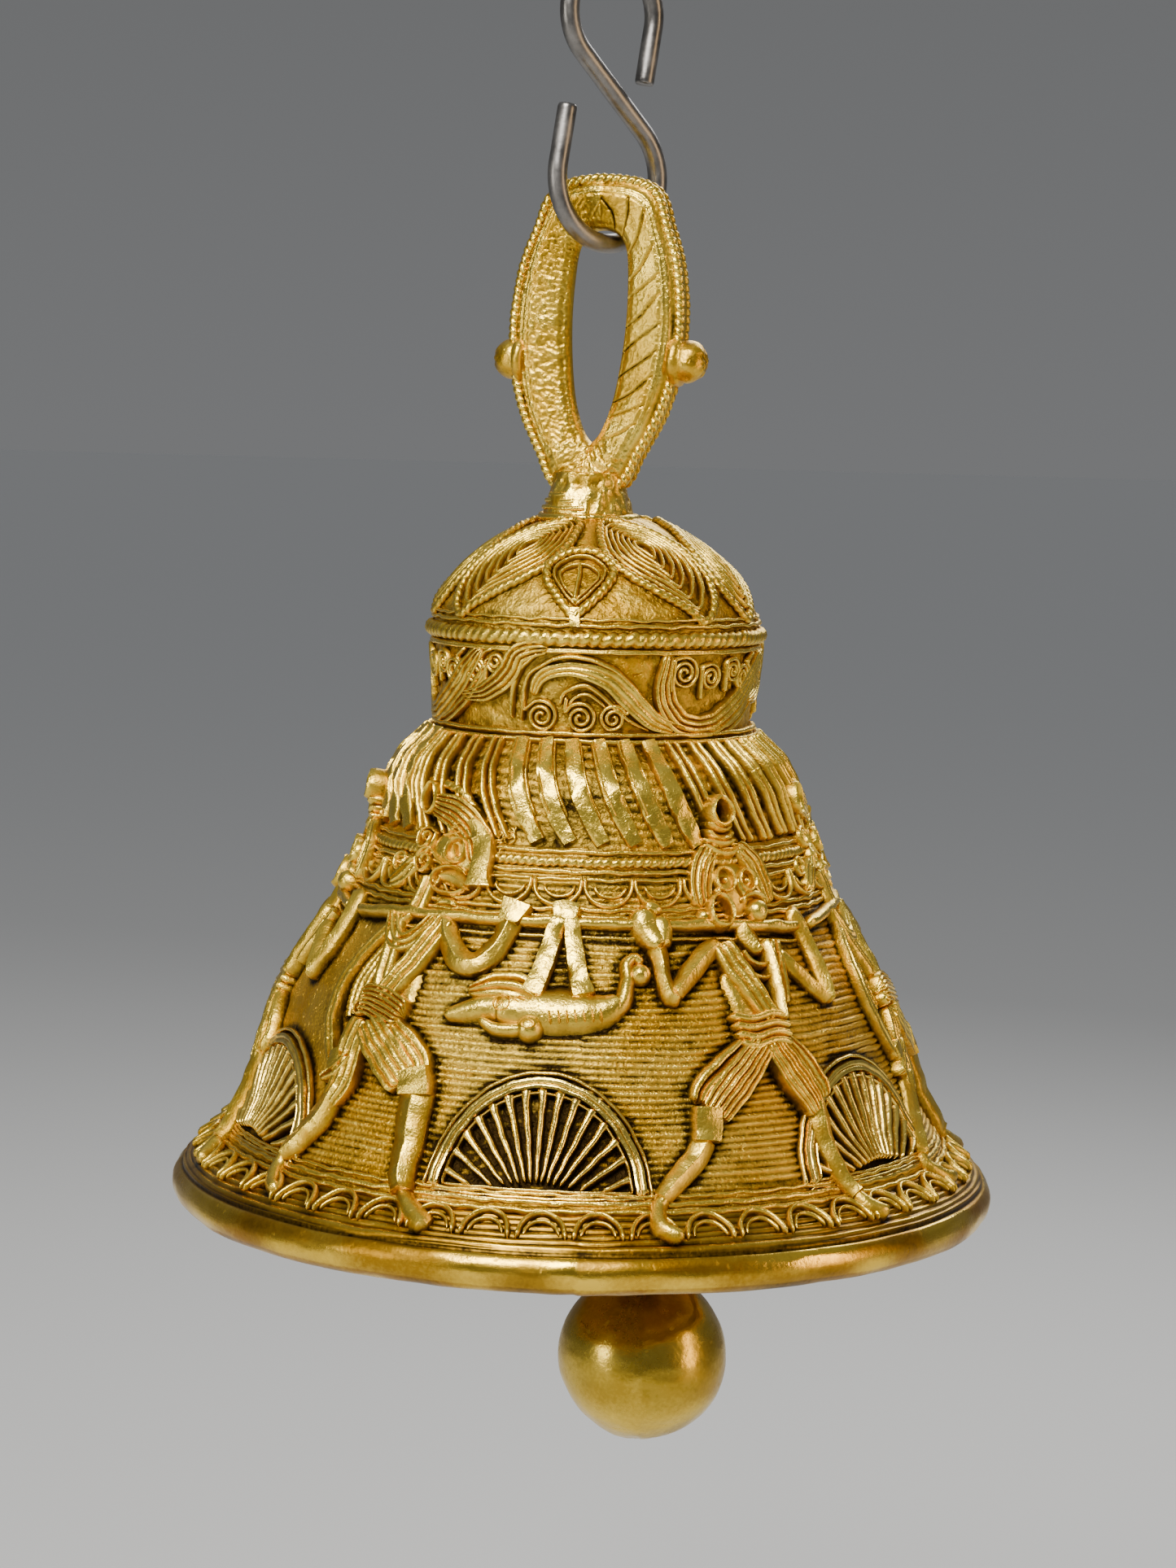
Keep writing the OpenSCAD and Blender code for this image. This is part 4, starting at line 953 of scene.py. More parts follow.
# ---- Second hunter ---------------------------------------------------------------------------
# A hunter who faces forward with both hands up on the pole: hair dressed in a hollow roll over
# combed threads, ringed eyes, a drop-shaped earring, and a pleated cloth to the knees.
on_each_side("bearer_right", [
    # hair roll and the bun it stands on
    oval(34.2, 80.8, 2.0, 2.5, 1.6, 4.8, seed=860),
    *[strip([(32.6 - 1.6 * (1 + 0.35 * n), level + 0.8, 0.7), (32.8, level - 0.7),
             (34.8 + 1.2 * (1 + 0.35 * n), level - 0.9),
             (35.6 + 2.1 * (1 + 0.35 * n), level + 0.3, 0.7)], 2.1, 4.0 - 0.4 * n, seed=861 + n,
            square=1.8) for n, level in enumerate((78.6, 76.9, 75.3, 73.8))],
    # combed hair: over the brow, down both sides
    *[strip(round_stations(36.4, 68.4, 7.0 - 1.1 * n, 5.95 - 0.935 * n, 165, 15, 11), 1.2,
           2.5 - 0.1 * n, seed=866 + n) for n in range(2)],
    strip([(31.4, 74, 0.7), (28.6, 71.4), (27, 67.6), (26.8, 63.8, 0.8)], 5.0, 2.4, ribs=4,
          seed=870, valley=0.6, loose=0.02),
    knob(26.8, 62.2, 1.6, 2.4),
    strip([(39.6, 74.2, 0.6), (43.6, 71), (45.2, 66.8), (45.6, 63.4, 0.6)], 5.2, 2.4, ribs=4,
          seed=871, valley=0.6, loose=0.02),
    # face: ringed eyes, nose, lips and the earring
    knob(36.8, 66.8, 5.6, 2.3, tone_top=0.75),
    *[part for azimuth, level, reach, seed in ((33.2, 68.2, 1.9, 872), (39.6, 67.8, 1.7, 874))
      for part in (oval(azimuth, level, reach, reach * 1.15, 1.15, 3.4, seed=seed),
                   knob(azimuth, level, 0.9, 3.3))],
    strip([(36.4, 68.6, 0.7), (36.8, 66.4), (38, 64.8, 1.2)], 1.6, 3.4, seed=876),
    strip([(36.6, 63.8, 0.7), (38.6, 65.1), (41.6, 65.2), (44, 63.8, 0.7)], 1.8, 3.1, seed=877),
    knob(41.0, 62.4, 2.5, 3.8, flat=0.5),
    oval(30.4, 62.6, 2.1, 2.8, 1.5, 3.9, seed=878),
    knob(30.9, 66.2, 1.0, 3.2),
    # chin, neck and necklace
    strip([(35.4, 61, 0.7), (36.6, 58), (38.2, 55, 0.7)], 4.6, 2.9, square=1.4, seed=879),
    strip(round_stations(37.4, 56.6, 3.4, 3.6, 190, 350, 9), 1.2, 2.7, seed=880),
    strip(round_stations(37.2, 56.6, 5.2, 5.6, 195, 345, 9), 1.0, 2.4, seed=881),
    strip([(39.8, 57.4, 0.8), (39.6, 52), (38.6, 47), (38, 43.6, 0.9)], 3.6, 3.4, square=1.8,
          seed=882),
    # chest bands down to the belt
    strip([(28.8, 57.4, 0.9), (31.4, 52.4), (34.4, 46.8, 0.8), (36, 43.8, 0.6)], 5.6, 2.8, ribs=3,
          seed=883, square=1.8, valley=0.6),
    strip([(28.4, 52.8, 0.6), (30.4, 48.6), (31.6, 44.6)], 5.4, 1.3, seed=884),
    strip([(43.4, 57.4, 0.8), (41.4, 52), (39.6, 46.6, 0.9)], 3.8, 2.3, ribs=2, seed=885),
    # left arm up to the pole, with its mitten hand
    strip([(29.2, 57.2, 0.8), (25.8, 56.2), (21, 52.8), (16.6, 49, 0.8)], 4.1, 2.7, square=1.4,
          seed=886),
    strip([(17.8, 48.4, 0.8), (15.8, 48.8), (15, 51.6, 0.95), (14.8, 54.4, 1.1),
           (14.3, 57.2, 1.3)], 3.3, 3.1, square=1.5, seed=887),
    strip([(14.8, 56.4, 0.7), (13.4, 59, 1.1), (12.2, 61.6, 1.2), (11.8, 63.6, 0.8)], 5.4, 3.5,
          square=2.6, seed=888),
    strip([(15.4, 56.8, 0.7), (16, 59.6, 1.1), (15.2, 62.4)], 4.6, 3.3, square=2.6, seed=889),
    strip([(12.4, 64.6, 0.7), (14.2, 63.8, 1.1), (16.6, 63, 0.7)], 2.8, 2.7, square=3, seed=890),
    # right arm
    strip([(43.2, 55.4, 0.8), (47.4, 50.8), (52.6, 46, 0.7)], 3.8, 2.5, square=1.4, seed=891),
    strip([(52.6, 45.6, 0.6), (53.8, 50.4), (54.2, 55.6), (53.4, 60.4, 1.2), (52, 62, 0.8)], 4.1,
          2.8, square=1.5, seed=892),
    # belt
    *[strip([(26.8 + 0.3 * n, level), (31, level - 0.7), (35.4, level - 0.2),
             (39.4 - 0.2 * n, level - 1)], 2.2, 3.2, seed=893 + n)
      for n, level in enumerate((45.2, 43.7, 42.2, 40.9))],
    # left leg: pleats, knee plate, shin turned in, foot on the lip
    strip([(32.8, 40.8, 0.75), (28.4, 36.4), (24, 32, 1.05), (21.2, 28.6, 0.95)], 6.6, 3.2, ribs=6,
          seed=900, valley=0.74),
    strip([(29, 41, 0.6), (24.4, 37.6), (20, 33.8), (18.6, 31, 0.7)], 4.1, 2.6, ribs=2, seed=901),
    strip([(20.2, 30), (19.9, 27, 1.02), (19.6, 24.4, 0.95)], 5.7, 3.7, square=3.6, seed=902,
          cut=True),
    strip([(19.8, 25.2), (17.4, 21.2), (14, 17.8, 0.9), (11.4, 15, 0.75)], 4.7, 3.0, square=1.5,
          seed=903),
    strip([(12.6, 16.2, 0.8), (11, 13.4), (11.4, 11, 1.15), (13.8, 9.6, 0.8)], 3.8, 2.3,
          square=1.8, seed=904),
    # right leg
    strip([(34.2, 40.8, 0.75), (36.6, 36), (39.4, 31.4, 0.95), (41.2, 27.4, 0.75)], 6.0, 3.2,
          ribs=6, seed=905, valley=0.74),
    strip([(37.8, 41, 0.6), (41, 37), (43.4, 33), (44, 29.8, 0.7)], 3.8, 2.6, ribs=3, seed=906),
    strip([(41.6, 29.4), (41.8, 23, 0.95), (42.8, 17.4, 0.85), (44.2, 12.8, 0.7)], 5.0, 3.2,
          square=1.5, seed=907, cut=True),
    strip([(43.8, 13.4, 0.8), (45.4, 11.2, 1.1), (47.4, 9.8, 0.8)], 3.8, 2.3, square=1.8,
          seed=908)], "wax")

# ---- Animal ----------------------------------------------------------------------------------
# The hunted animal hangs head down the pole by its bound legs, with a ribbed belly, a combed
# mane, a curled tail that ends in a ball, and a slit ball under its jaw.
on_each_side("animal", [
    strip([(-8.4, 62.6, 0.8), (-5, 63, 1.1), (-1.6, 62.6, 0.8)], 3.8, 3.0, square=4, seed=920),
    strip([(-6.2, 62.4, 0.8), (-7.6, 57), (-9, 52, 1.05), (-10.4, 48.4, 1.25)], 3.7, 2.9,
          square=3.4, seed=921, filed=0.2),
    strip([(-4, 62.4, 0.8), (-2.8, 57, 0.95), (-1.6, 52), (-0.4, 48.4, 1.35)], 3.7, 2.9,
          square=3.4, seed=922, filed=0.2),
    strip([(-17, 46.6, 0.7), (-11, 46.6, 0.95), (-4, 46.4, 1.05), (3, 46.8, 0.8),
           (6.4, 48.6, 0.5)], 8.9, 2.7, square=1.9, seed=923),
    strip([(-26.4, 44.2, 0.6), (-22.6, 45.4), (-18, 46.6, 1.3), (-14, 46.4, 1.1)], 4.7, 2.6,
          square=1.8, seed=924),
    strip([(-19.6, 44.2, 0.6), (-15.6, 42.8), (-12, 43), (-8.4, 43.6, 0.7)], 3.1, 2.6, seed=925),
    strip([(-22.6, 48.4, 0.4), (-17, 50), (-12, 49.6), (-8.8, 47.8, 0.4)], 5.4, 2.6, ribs=3,
          seed=926),
    strip([(3, 45.8), (6.6, 48, 0.95), (7.8, 51.4, 0.8), (7.8, 54, 0.7), (9.6, 55.4, 0.6),
           (11, 54, 0.6)], 4.3, 2.4, square=1.8, seed=927),
    knob(10.4, 52.6, 2.3, 3.0),
    oval(-15.4, 46.9, 1.5, 1.2, 0.7, 3.0, seed=928),
    knob(-15.4, 46.9, 0.7, 3.1),
    knob(-10, 43.3, 2.7, 3.4, flat=0.4),
    oval(-10, 43.5, 1.2, 0.7, 0.6, 3.7, seed=929),
    *[strip([(-6.6 + 1.5 * n, 46.6 + 0.1 * n), (-6.1 + 1.5 * n, 43.6 + 0.12 * n)], 0.9, 2.9,
           seed=930 + n) for n in range(7)],
    *[strip([(-15 + n, 48.2), (-11.6 + n, 47 + 0.4 * n)], 0.6, 3.0,
           seed=940 + n) for n in range(3)]], "wax")

# ---- Handle foot -----------------------------------------------------------------------------
# The short stem between dome and loop: rough cast brass with a thread laid round its foot, and
# a wrapped collar on one side where two strips of wax were folded over one another.
FOOT_HEIGHT = 133.5
FOOT_TALL = 9.2
HANDLE_TURN = -20.0
HANDLE_LEAN = 2.0
foot_run = np.linspace(-0.14, 1, 30)
foot_radius = 9.3 - 2.7 * np.clip(foot_run, 0, 1) ** 0.7 + 1.8 * np.clip(foot_run - 0.75, 0, 1)
foot_profile = np.vstack([[(0.05, FOOT_HEIGHT - 1.3)],
                          np.stack([foot_radius, FOOT_HEIGHT + FOOT_TALL * foot_run], 1),
                          [(0.05, FOOT_HEIGHT + FOOT_TALL)]])
ft_az = np.arange(160)[None] * 2.25
ft_h = foot_profile[:, 1:]
foot_skin = 0.22 * lumps(ft_az * 0.16, ft_h, 0.9, 71) + 0.3 * lumps(ft_az * 0.16, ft_h, 2.2, 72)
foot_bud = np.exp(-((ft_az + 48 - 360 * (ft_az > 180)) / 34) ** 2)
foot_bud = foot_bud * np.exp(-((ft_h - FOOT_HEIGHT - 3.4) / 2.6) ** 2)
foot_skin = foot_skin * (1 - 0.6 * foot_bud) + 1.1 * foot_bud
foot_skin[[0, -1]] = 0
handle_brass = brass_finish("handle brass", DARK, (0.72, 0.47, 0.05), (0.96, 0.70, 0.10), 0.0,
                            0.36, 0.2, 1.0, 0.35)


def ring_about(height, radius, thick, seed, start=0.0, stop=360.0):
    """A thread laid round the stem."""
    turn = np.radians(np.linspace(start, stop, 90))
    centre = round_axis(turn, radius, height + 0.2 * sway(np.degrees(turn) / 12, seed))
    around = np.linspace(math.pi, -math.pi, 10, endpoint=False)[None]
    rings = rings_round(centre, np.array([[0, 0, -1.0]]), round_axis(turn, 1.0, 0 * turn),
                        thick * np.cos(around), thick * np.sin(around))
    return tube(rings, np.repeat(0.35 + 0.6 * np.clip(np.sin(around), 0, 1), 90, 0))


def leaned(part):
    """The handle stands a little to the left at its foot and is upright again at its top."""
    points, quads, caps, tone = part
    share = np.clip((points[:, 2] - FOOT_HEIGHT - 9) / 56, 0, 1)
    return points - np.outer(1 - share, (HANDLE_LEAN, 0, 0)), quads, caps, tone


foot_parts = [turned(foot_profile, foot_skin, 0.42 + 1.2 * foot_skin * (1 - foot_bud)),
              ring_about(FOOT_HEIGHT + 0.6, 9.1, 0.8, 950)]
for n in range(3):
    foot_parts.append(ring_about(FOOT_HEIGHT + 2.4 + 1.3 * n, 8.8 - 0.35 * n, 0.45, 952 + n,
                                 -84 + 9 * n, -6 - 14 * n))
piece("handle_foot_wrapped", [leaned(part) for part in foot_parts], handle_brass, "handle_brass",
      "handle_foot")

# ---- Handle loop -----------------------------------------------------------------------------
# A pointed oval loop, wide at its outer edge and thin at the hole. Its faces carry slanting leaf
# veins and filed places, and a twisted rope follows the outer edge.
LOOP_HEIGHT = 138.0
HANDLE_H = 61.0
HANDLE_W = 35.6

# The right half, from the top: across and height of the hole's edge, then of the outer edge
LOOP = [(0, 0.847, 0, 1), (0.19, 0.83, 0.56, 0.965), (0.3, 0.78, 0.77, 0.83),
        (0.34, 0.69, 0.9, 0.72), (0.35, 0.56, 0.97, 0.57), (0.32, 0.43, 0.95, 0.43),
        (0.25, 0.3, 0.82, 0.28), (0.13, 0.2, 0.58, 0.14), (0, 0.155, 0.34, 0.03)]
right_half = [(u * HANDLE_W / 2, h * HANDLE_H, v * HANDLE_W / 2, g * HANDLE_H)
              for u, h, v, g in LOOP]
left_half = [(-u, h, -v, g) for u, h, v, g in right_half[1:][::-1]]
stations = np.array(right_half + left_half)
share = np.linspace(0, 1, 38, endpoint=False)[:, None]
loop_curve = np.vstack([bent(*np.roll(stations, 1 - k, 0)[:4], share)
                        for k in range(len(stations))])
loop_inner = loop_curve[:, :2]
loop_outer = loop_curve[:, 2:]
loop_run = run_along((loop_inner + loop_outer) / 2)
across = np.linspace(0, 1, 37)
half_depth = np.interp(across, (0, 0.12, 0.4, 0.62, 0.8, 0.92, 1),
                       (2.0, 2.9, 3.6, 3.9, 3.0, 2.3, 1.3))


def loop_face(sign, seed):
    """Points on one face of the loop, from the hole to the outer edge, and their tone."""
    share = across[None]
    run = loop_run[:, None]
    side_of = np.sign(loop_outer[:, :1] + 1e-6)
    phase = run / 5.0 + side_of * share * 1.7 + 0.2 * sway(run, seed, 13.0)
    vein = np.clip(1 - np.abs(np.sin(math.pi * phase)) / 0.2, 0, 1)
    left_arm = np.clip(-loop_outer[:, :1] / 5, 0, 1) * (sign < 0)
    low_end = np.clip((12 - loop_outer[:, 1:]) / 6, 0, 1)
    vein = vein * np.clip((0.7 - share) / 0.05, 0, 1) * (1 - left_arm) * (1 - low_end)
    rough = 0.06 + 0.09 * np.maximum(left_arm, low_end)
    grains = rough * lumps(run, share * 12, 0.5, seed)
    grains += 0.5 * rough * lumps(run, share * 12, 1.2, seed + 1)
    grains += 0.14 * lumps(run, share * 12, 5, seed)
    filed = np.clip(1.6 * lumps(run, share * 3, 9.0, seed + 2) + 0.5, 0, 1)
    filed = filed * (1 - left_arm) * (1 - low_end)
    midrib = np.exp(-((share - 0.71) / 0.022) ** 2) + np.exp(-((share - 0.79) / 0.022) ** 2)
    lift = grains * (1 - 0.85 * filed) - 0.5 * vein - 0.2 + 0.42 * midrib * (1 - low_end)
    lift[:, 0] *= 0.2
    flat = loop_inner[:, None] * (1 - share[..., None]) + loop_outer[:, None] * share[..., None]
    points = np.stack([flat[..., 0], sign * (half_depth[None] + lift), flat[..., 1]], -1)
    tone = 0.42 + 0.4 * filed + 1.5 * grains * (1 - filed) - 0.7 * vein + 0.3 * midrib
    return points, tone - 0.35 * np.exp(-((share - 0.87) / 0.03) ** 2)


def closed_tube(rings, tone):
    """A part made of rings of points whose last ring joins its first."""
    quads = faces_between(*rings.shape[:2], True)[:, [0, 3, 2, 1]]
    return rings.reshape(-1, 3) + (0, 0, LOOP_HEIGHT), quads, [], tone.ravel()


def loop_rope(share, depth, radius, pitch, seed):
    """A rope that follows the loop at a share of its width, at a depth behind its middle."""
    line = loop_inner * (1 - share) + loop_outer * share
    steps = len(line) * 2
    where = np.arange(steps) / 2
    x, z = (np.interp(where, np.arange(len(line) + 1), np.append(c, c[0])) for c in line.T)
    centre = np.stack([x, np.full(steps, depth), z], 1)
    out = np.array([[0.0, np.sign(depth), 0.0]])
    side = np.cross(unit(np.roll(centre, -1, 0) - np.roll(centre, 1, 0)), out)
    run = np.cumsum(np.linalg.norm(np.roll(centre, -1, 0) - centre, axis=1))
    twist = run * math.pi * round(run[-1] / pitch) / run[-1]
    rings, tone = twisted_pair(centre, side, out, run, twist, radius, 0.3, seed, (0.6, 0.6))
    points, quads, caps, tone = closed_tube(rings, tone)
    return points, quads[:, ::-1], caps, tone


front_points, front_tone = loop_face(-1, 81)
back_points, back_tone = loop_face(1, 84)
outward = unit(loop_outer - loop_inner)
brow, hollow = (np.insert(line + outward * reach, 1, 0, axis=1)[:, None]
                for line, reach in ((loop_outer, 0.35), (loop_inner, -0.75)))
loop_rings = np.concatenate([front_points, brow, back_points[:, ::-1], hollow], 1)
edge_tone = np.ones((len(loop_run), 1))
loop_tone = np.concatenate([front_tone, 0.6 * edge_tone, back_tone[:, ::-1], 0.5 * edge_tone], 1)
loop_parts = [closed_tube(loop_rings, loop_tone)]
loop_parts += [loop_rope(0.955, depth, 1.1, 1.5, 90) for depth in (-1.5, 1.5)]
piece("handle_loop_leaf", [leaned(turn_about(part, HANDLE_TURN)) for part in loop_parts],
      handle_brass, "handle_brass", "handle_loop")

# ---- Handle knobs ----------------------------------------------------------------------------
# A bud on each side of the loop: a ball of wax pressed on over a thin collar, cast with the loop
# and hammered into small flats.
KNOB_SHARE = 0.43
bud_turn = np.radians(np.linspace(-4, 88, 18))
bud_profile = np.array([(0.05, -0.6), (4.7, -0.6), (4.9, 0.3), (4.6, 1.1), (4.0, 1.5)]
                       + [(4.15 * math.cos(t) ** 0.8, 2.0 + 4.1 * math.sin(t)) for t in bud_turn])
bud_az = np.arange(48)[None] * 7.5
bud_row = np.arange(len(bud_profile))[:, None]
for sign, node in ((-1, "handle_knob_left"), (1, "handle_knob_right")):
    bud_skin = 0.16 * lumps(bud_az / 14, bud_row * 0.35, 1.4, 96 + sign) - 0.1
    points, quads, caps, tone = turned(bud_profile, bud_skin, 0.55 + 1.6 * bud_skin)
    turned_out = np.stack([sign * (points[:, 2] + HANDLE_W / 2 - 2.3 + 0.7 * sign),
                           points[:, 1] * sign,
                           points[:, 0] + LOOP_HEIGHT + HANDLE_H * KNOB_SHARE], 1)
    bud = turn_about((turned_out, quads[:, ::-1], caps, tone), HANDLE_TURN)
    piece(node + "_bud", [leaned(bud)], handle_brass, "handle_brass", node)

# ---- Clapper hanging -------------------------------------------------------------------------
# Inside the bell a staple is cast into the crown. A closed link of steel wire hangs in it, and
# the eye of the clapper rod hangs in the link. All are dark, with a little rust.


def steel_finish(name, colour, rust, dull, streaks):
    """Dull metal wire: drawn streaks along it, darker scale and a little rust."""
    material, tree, shader = new_material(name)
    place = object_place(tree)
    drawn = noise(tree, 1, 4, object_place(tree, streaks), 0.6)
    scale = noise(tree, 160, 5, place, 0.7)
    fleck = noise(tree, 900, 3, place, 0.6)
    ramps = []
    for share, stops in ((scale, ((0.3, [c * 0.45 for c in colour]), (0.72, colour))),
                         (fleck, ((0.0, (0.13, 0.05, 0.02)), (1.0, (0.2, 0.09, 0.035))))):
        ramp = add_node(tree, "ValToRGB", {"Fac": share})
        for stop, (position, shade) in zip(ramp.color_ramp.elements, stops):
            stop.position = position
            stop.color = (*shade, 1)
        ramps.append(ramp.outputs["Color"])
    rust_mask = mapped(tree, scale, 0.62 - rust, 0.75 - rust)
    tree.links.new(blend_colours(tree, rust_mask, *ramps), shader["Base Color"])
    tree.links.new(mapped(tree, rust_mask, 0, 1, 1.0, 0.35), shader["Metallic"])
    tree.links.new(mapped(tree, scale, 0.3, 0.7, dull - 0.08, dull + 0.12), shader["Roughness"])
    add_relief(tree, maths(tree, "MULTIPLY_ADD", fleck, 0.3, drawn), 0.3, 0.00015)
    return material


clapper_steel = steel_finish("clapper steel", (0.2, 0.17, 0.145), 0.12, 0.48, (900, 900, 120))
staple_brass = steel_finish("staple brass", (0.45, 0.3, 0.1), -0.2, 0.42, (500, 500, 500))
for node, metal in (("clapper_link", clapper_steel), ("clapper_rod", clapper_steel),
                    ("clapper_staple", staple_brass)):
    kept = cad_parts[node].data.materials
    kept.clear()
    kept.append(metal)

# ---- Clapper ball ----------------------------------------------------------------------------
# The striking ball: brass cast on the end of the rod and filed round by hand, with soft flats
# and a low collar at the rod.
ball_low, ball_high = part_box("clapper_ball")
ball_centre = (ball_low + ball_high) / 2
BALL_R = (ball_high.z - ball_low.z) / 2 / MM
ball_rows = [(0.05, -BALL_R)]
ball_rows += [(BALL_R * math.cos(t), BALL_R * math.sin(t))
              for t in np.radians(np.linspace(-89, 80, 90))]
ball_rows += [(3.6, BALL_R * 0.985), (3.3, BALL_R), (2.6, BALL_R), (2.55, BALL_R - 3),
              (0.05, BALL_R - 3)]
bl_az = np.arange(180)[None] * 0.5
bl_row = np.arange(len(ball_rows))[:, None]
ball_skin = 0.22 * lumps(bl_az, bl_row, 11.0, 101) - 0.24
ball_skin += 0.05 * lumps(bl_az, bl_row, 3.0, 102) - 0.05
ball_skin[-6:] = 0
ball_skin[0] = 0
ball_brass = brass_finish("ball brass", DARK, (0.46, 0.31, 0.035), (0.88, 0.62, 0.09), 0.0, 0.32,
                          0.17, 0.7, 0.10)
add_filing(ball_brass, 300, 300, 0.3)
points, quads, caps, tone = turned(np.array(ball_rows), ball_skin,
                                   0.6 + 0.3 * lumps(bl_az, bl_row, 14.0, 103))
points += np.array([ball_centre.x, ball_centre.y, ball_centre.z - RIM_Z]) / MM
piece("clapper_ball_filed", [(points, quads, caps, tone)], ball_brass, "ball_brass",
      "clapper_ball", body="clapper")

# ---- Painted shade beside the relief ---------------------------------------------------------
# The plain ground of the casting is painted darker close beside the relief that is laid on it:
# painted shade where the raised strips keep light from the corner, with the dark patina there.
SHADE_REACH = 1.2
CARVED_SHADE_WEIGHT = 1.0
STRIP_SHADE_WEIGHT = 0.45


def tones_and_places(made):
    """The tone and the place of every point of a piece."""
    tone = np.empty(len(made.data.vertices), np.float32)
    place = np.empty(len(tone) * 3, np.float32)
    made.data.attributes["tone"].data.foreach_get("value", tone)
    made.data.vertices.foreach_get("co", place)
    return tone, place.reshape(-1, 3)


feet = []
weights = []
for raised in relief_made:
    tone, place = tones_and_places(raised)
    feet += place[tone < 0.01].tolist()
    carved = raised.name.startswith(("bearer", "animal", "pole", "sun"))
    weights += [CARVED_SHADE_WEIGHT if carved else STRIP_SHADE_WEIGHT] * (len(feet) - len(weights))
nearby = KDTree(len(feet))
for index, foot in enumerate(feet):
    nearby.insert(foot, index)
nearby.balance()
for ground in grounds:
    tone, place = tones_and_places(ground)
    found = [nearby.find(point) for point in place.tolist()]
    gap = np.array([f[2] for f in found]) / MM
    # painted shade: the ground is darkened close to the foot of each raised strip, most beside the
    # figures
    relief_shade = np.clip(1 - (gap - 0.4) / SHADE_REACH, 0, 1) * [weights[f[1]] for f in found]
    ground.data.attributes["tone"].data.foreach_set("value", tone * (1 - 0.8 * relief_shade)
                                                    - 0.24 * relief_shade)

# ---- S-hook ----------------------------------------------------------------------------------
# A length of drawn steel wire bent into an S by hand: the bell's loop hangs in the lower bend
# and a nail goes through the upper one. The ends are cut square and a little burred.
HOOK_WIRE = 3.8
HOOK_LOW_R = 12.5
HOOK_UP_R = 10.5
HOOK_LEAVE = 48.0
HOOK_TURN = 40.0
TIP_CLOSE = 10.0
TIP = 11.0
HOOK_LOW_HEIGHT = 198.967
hook_rise = (HOOK_LOW_R + HOOK_UP_R) / math.sin(math.radians(HOOK_LEAVE))


def bend(radius, hand):
    """The bend of one loop in the hook's plane, from its tip to where the cross wire starts."""
    turn = np.radians(np.linspace(-180 - TIP_CLOSE, HOOK_LEAVE, 80))
    line = np.stack([radius * np.cos(turn), radius * np.sin(turn)], 1)
    away = np.array([math.sin(turn[0]), -math.cos(turn[0])])
    tip = line[0] + np.outer(np.linspace(1, 0.06, 10) * TIP, away)
    return np.vstack([tip, line]) * hand


low_bend = bend(HOOK_LOW_R, 1)
up_bend = bend(HOOK_UP_R, -1)[::-1] + (0, hook_rise)
crossing = np.linspace(low_bend[-1], up_bend[0], 26)[1:-1]
hook_line = np.vstack([low_bend, crossing, up_bend])
hook_run = run_along(hook_line)
hook_even = np.linspace(0, hook_run[-1], 420)
x, z = (np.interp(hook_even, hook_run, c) for c in hook_line.T)
hook_centre = np.stack([x, 0 * x, z + HOOK_LOW_HEIGHT], 1)
hook_out = np.array([[0.0, 1.0, 0.0]])
hook_side = np.cross(unit(np.gradient(hook_centre, axis=0)), hook_out)
burr = np.clip(np.minimum(hook_even, hook_even[-1] - hook_even) / 0.5, 0, 1)
wire = HOOK_WIRE / 2 * (0.985 + 0.012 * sway(hook_even, 5, 16.0)) * (0.9 + 0.1 * burr)
wire_turn = np.linspace(math.pi, -math.pi, 28, endpoint=False)[None]
hook_rings = rings_round(hook_centre, hook_side, hook_out, wire[:, None] * np.cos(wire_turn),
                         wire[:, None] * np.sin(wire_turn))
hook_part = tube(hook_rings, np.full(hook_rings.shape[:2], 0.5))
hook_steel = steel_finish("hook steel", (0.3, 0.285, 0.27), -0.08, 0.34, (140, 140, 700))
piece("s_hook_wire", [turn_about(hook_part, HOOK_TURN)], hook_steel, "hook_steel", "s_hook",
      body="hook")

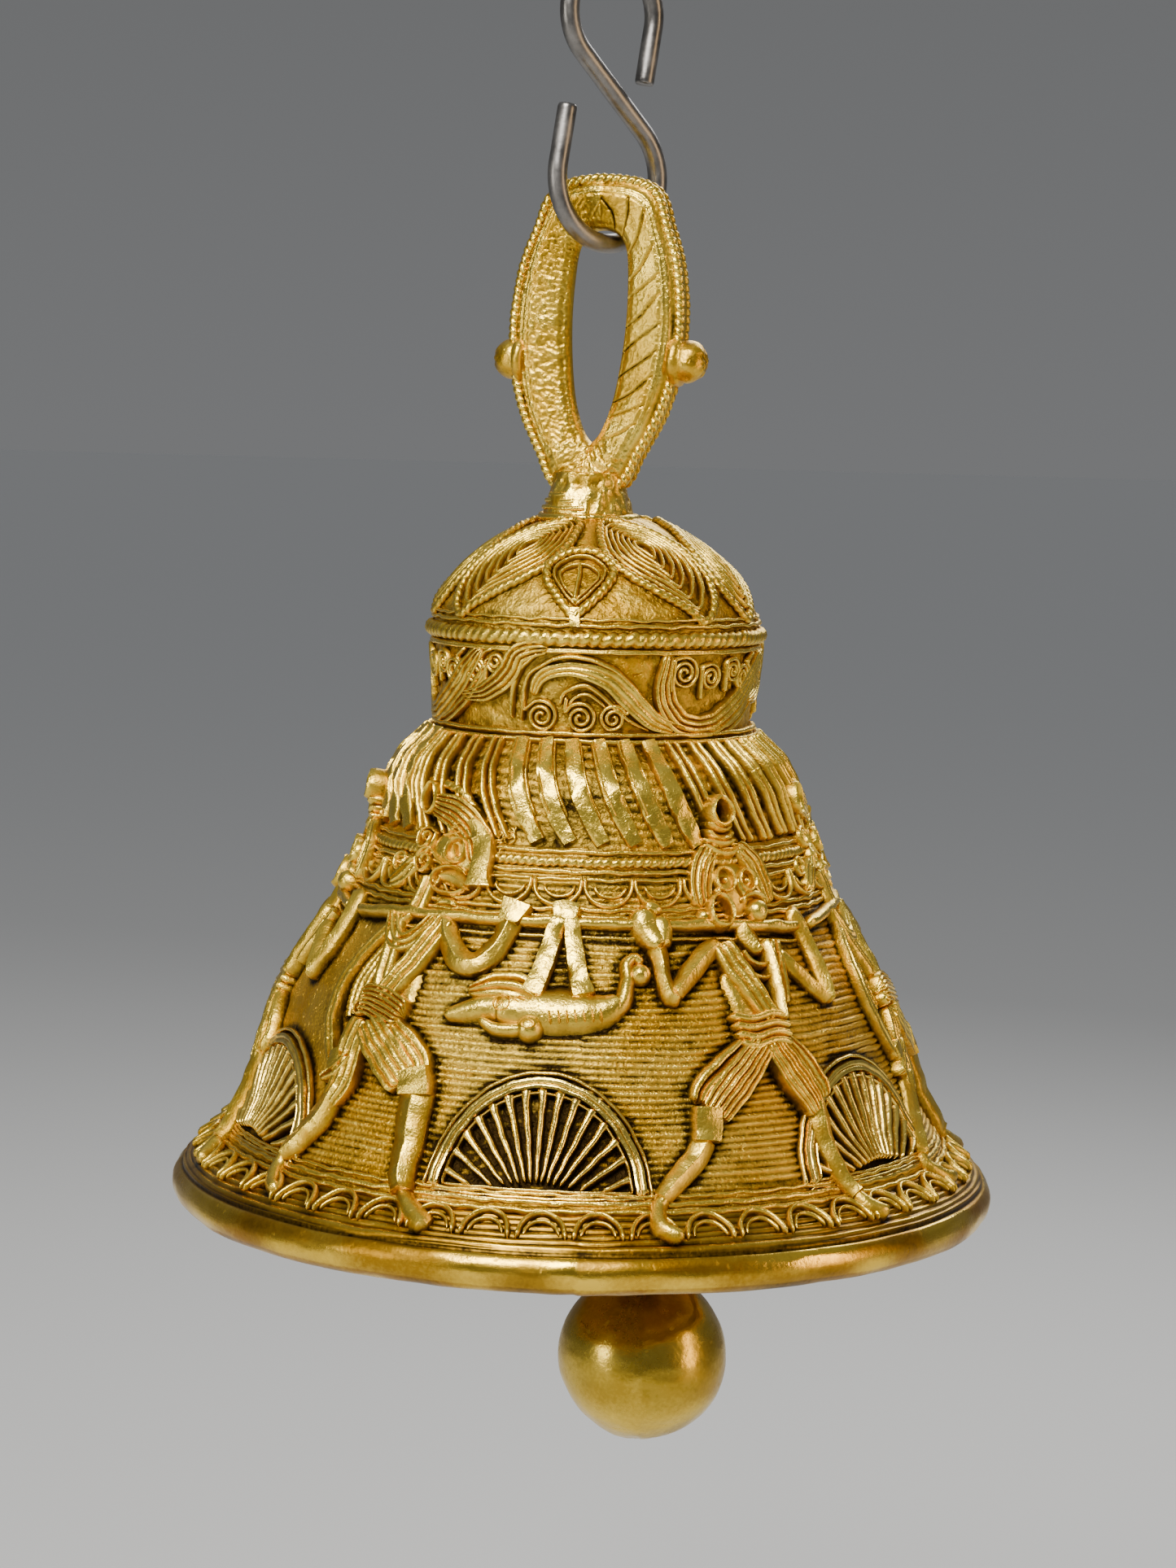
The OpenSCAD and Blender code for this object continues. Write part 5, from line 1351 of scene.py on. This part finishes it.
# ---- Floor and light -------------------------------------------------------------------------
# A plain pale floor under the hanging bell, and soft lamps as in a small studio: a broad one from
# above in front, a weak one low on the left, a warm one on the right, and one behind and above.
FLOOR_Z = cad_box[0][2] - 0.2
REACH = 60.0
floor_mesh = bpy.data.meshes.new("floor")
floor_mesh.from_pydata([(x, y, FLOOR_Z) for x, y in ((-REACH, -REACH), (REACH, -REACH),
                                                     (REACH, REACH), (-REACH, REACH))],
                       [], [(0, 1, 2, 3)])
floor_paint, _, floor_shader = new_material("floor paint")
floor_shader["Base Color"].default_value = (0.6, 0.6, 0.59, 1)
floor_shader["Roughness"].default_value = 0.85
floor_mesh.materials.append(floor_paint)
put_in_scene("floor", floor_mesh)

world = bpy.data.worlds.new("studio")
bpy.context.scene.world = world
world.use_nodes = True
sky = world.node_tree
sky_turn = sky.nodes.new("ShaderNodeSeparateXYZ")
sky.links.new(sky.nodes.new("ShaderNodeTexCoord").outputs["Generated"], sky_turn.inputs[0])
sky_ramp = add_node(sky, "ValToRGB", {"Fac": sky_turn.outputs["Z"]})
sky_stops = sky_ramp.color_ramp.elements
sky_stops.new(0.25)
for stop, position, colour in zip(sky_stops, (0.0, 0.25, 0.9),
                                  ((0.178, 0.181, 0.185), (0.135, 0.138, 0.14),
                                   (0.36, 0.37, 0.39))):
    stop.position = position
    stop.color = (*colour, 1)
sky.links.new(sky_ramp.outputs["Color"], sky.nodes["Background"].inputs["Color"])


def lamp(name, place, size, power, colour):
    """A flat soft lamp that faces the middle of the bell. Its place is counted from the rim."""
    data = bpy.data.lights.new(name, "AREA")
    data.shape = "RECTANGLE"
    data.size, data.size_y = size
    data.energy = power
    data.color = colour
    made = put_in_scene(name, data)
    made.location = Vector(place) + Vector((0, 0, RIM_Z))
    aim = Vector((0, 0, RIM_Z + 0.07)) - made.location
    made.rotation_euler = aim.to_track_quat("-Z", "Y").to_euler()


lamp("window lamp", (-0.32, -0.95, 0.98), (0.6, 0.4), 27, (1.0, 0.98, 0.94))
lamp("low lamp", (-1.0, -0.7, 0.2), (0.2, 0.5), 3.4, (1.0, 0.97, 0.9))
lamp("side lamp", (0.9, -0.35, 0.15), (0.2, 0.6), 2.6, (1.0, 0.68, 0.36))
lamp("back lamp", (0.35, 0.9, 0.8), (0.8, 0.5), 9, (1.0, 1.0, 1.0))
